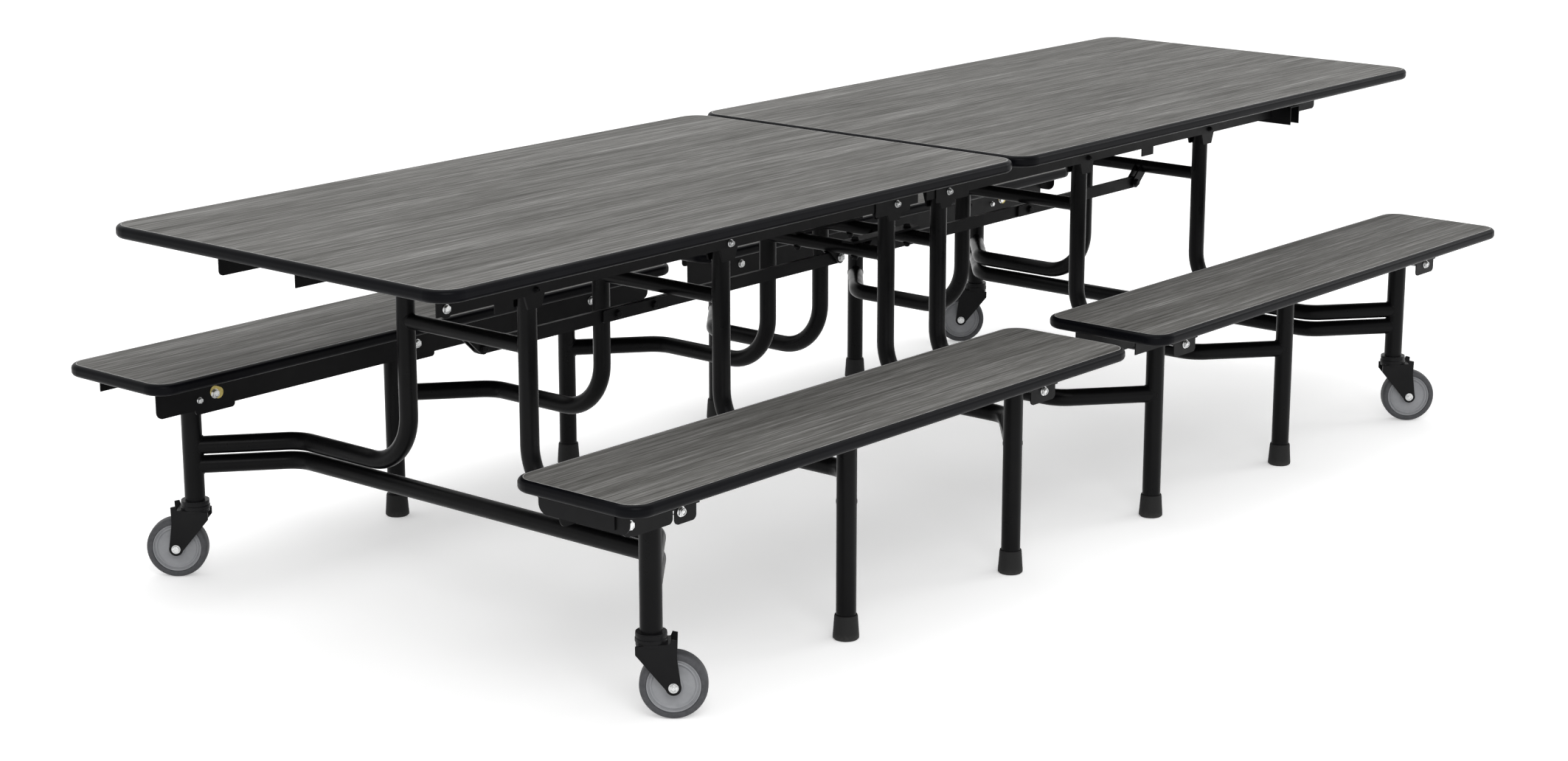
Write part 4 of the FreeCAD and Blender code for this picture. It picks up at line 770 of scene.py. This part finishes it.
# Link bar pins, and the lap where each link bar is made of two strips: the
# second strip lies on the first and a slotted hole sets the bar's length.
LINK_LEVEL = 0.496
CLEVIS_FACE = 0.0099
PIN_INSET = 0.035
BAR_FACE = 0.0040
LAP_FACE = 0.0085
for side, s in SIDES:
    bolts = bmesh.new()
    for post in (s * CENTRE_POST, OUTER_POST[side]):
        x_pin = post - s * PIN_INSET
        first = len(bolts.faces)
        shank(bolts, (x_pin, -CLEVIS_FACE, LINK_LEVEL), (x_pin, CLEVIS_FACE, LINK_LEVEL),
              M8_RADIUS)
        bolt_head(bolts, M8_FLATS, facing((x_pin, -CLEVIS_FACE, LINK_LEVEL), (0, -1, 0)))
        lock_nut(bolts, M8_FLATS, facing((x_pin, CLEVIS_FACE, LINK_LEVEL), (0, 1, 0)))
    blacken(bolts, first)
    piece = finish_piece("link_bar_pins_" + side, bolts, zinc, "link_bar_" + side)
    piece.data.materials.append(sheet_black)
    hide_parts("link_pins_" + side)

    lap = bmesh.new()
    flat_plate(lap, (s * 0.560, s * 0.738), (0.4845, 0.5075), (-BAR_FACE, -LAP_FACE), 0.004)
    finish_piece("link_lap_" + side, lap, sheet_black, "link_bar_" + side)
    bolts = bmesh.new()
    for x_bolt in (0.700, 0.600):
        bolt_head(bolts, M8_FLATS, facing((s * x_bolt, -LAP_FACE, LINK_LEVEL), (0, -1, 0)))
    lock_nut(bolts, M8_FLATS, facing((s * 0.700, BAR_FACE, LINK_LEVEL), (0, 1, 0)))
    finish_piece("link_lap_bolts_" + side, bolts, sheet_black, "link_bar_" + side)


# Casters: pressed steel fork in black, a grey moulded wheel centre with a
# raised rim ring, and a dark rubber tread bonded round it.
caster_black = powder_coat("caster_black", (0.006, 0.006, 0.0065), (0.010, 0.010, 0.0105),
                           0.28, 0.40, 800.0)
hub_grey = mottled("hub_grey", (40.0, 4.0, 0.6),
                   [(0.3, (0.225, 0.230, 0.242)), (0.7, (0.275, 0.280, 0.292))],
                   relief=((800.0, 2.0), 0.08, 0.0002), roughness=0.42)
tread_rubber = mottled("tread_rubber", (120.0, 5.0, 0.65),
                       [(0.3, (0.044, 0.045, 0.049)), (0.7, (0.068, 0.069, 0.074))],
                       relief=((600.0, 3.0), 0.18, 0.0003), roughness=0.6, specular=0.35)
WHEEL_RADIUS = 0.057
TRAIL = 0.036
AXLE_REACH = 0.0235

# (radius, offset from the wheel's middle) along one side of each.
HUB_SIDE = [(0.00505, 0.0190), (0.0132, 0.0190), (0.0150, 0.0174), (0.0154, 0.0122),
            (0.0172, 0.0104), (0.0240, 0.0100), (0.0345, 0.0100), (0.0362, 0.0104),
            (0.0372, 0.0122), (0.0386, 0.0128), (0.0398, 0.0122), (0.0406, 0.0112),
            (0.0420, 0.0112), (0.0428, 0.0136), (0.0438, 0.0142), (0.0450, 0.0138)]
TREAD_SIDE = [(0.0450, 0.0138), (0.0462, 0.0158), (0.0476, 0.0160), (0.0520, 0.0160),
              (0.0543, 0.0150), (0.0560, 0.0128), (0.0568, 0.0096), (0.0570, 0.0050)]


def both_sides(side_points):
    """A closed profile from the points of one side."""
    return side_points + [(radius, -offset) for radius, offset in reversed(side_points)]


for side, _ in SIDES:
    for row_name, row, heading in (("near", -1, -49.0), ("far", 1, 131.0)):
        name = "%s_%s" % (side, row_name)
        swivel = (Matrix.Translation((leg_of(OUTER_POST[side]), row * LEG_ROW, 0.0))
                  @ Matrix.Rotation(math.radians(heading), 4, "Z"))
        axle = (swivel @ Matrix.Translation((TRAIL, 0.0, WHEEL_RADIUS))
                @ Matrix.Rotation(-math.pi / 2, 4, "X"))
        dress("caster_fork_" + name, caster_black)
        wheel = bmesh.new()
        turned(wheel, both_sides(HUB_SIDE), axle, steps=72, closed=True)
        piece = finish_piece("wheel_centre_" + name, wheel, hub_grey, "wheel_" + name, 50.0)
        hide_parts("caster_hub_" + name)
        tread = bmesh.new()
        turned(tread, both_sides(TREAD_SIDE), axle, steps=72, closed=True)
        piece = finish_piece("wheel_tread_" + name, tread, tread_rubber, "wheel_" + name, 50.0)
        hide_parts("caster_tyre_" + name)
        bolts = bmesh.new()
        shank(bolts, axle @ Vector((0, 0, -AXLE_REACH)), axle @ Vector((0, 0, AXLE_REACH)),
              PIN_RADIUS)
        outward = Matrix.Translation((0, 0, AXLE_REACH))
        bolt_head(bolts, M8_FLATS, axle @ outward)
        lock_nut(bolts, M8_FLATS, axle @ Matrix.Rotation(math.pi, 4, "X") @ outward)
        piece = finish_piece("axle_bolt_" + name, bolts, zinc, "fork_" + name)
        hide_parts("caster_axle_" + name)
        rings = bmesh.new()
        for low, high, radius in ((0.1310, 0.1400, 0.0272), (0.1412, 0.1478, 0.0264)):
            turned(rings, [(radius - 0.004, low), (radius - 0.001, low), (radius, low + 0.001),
                           (radius, high - 0.002), (radius - 0.002, high),
                           (radius - 0.004, high)], swivel, steps=40, closed=True)
        finish_piece("swivel_rings_" + name, rings, caster_black, "fork_" + name)
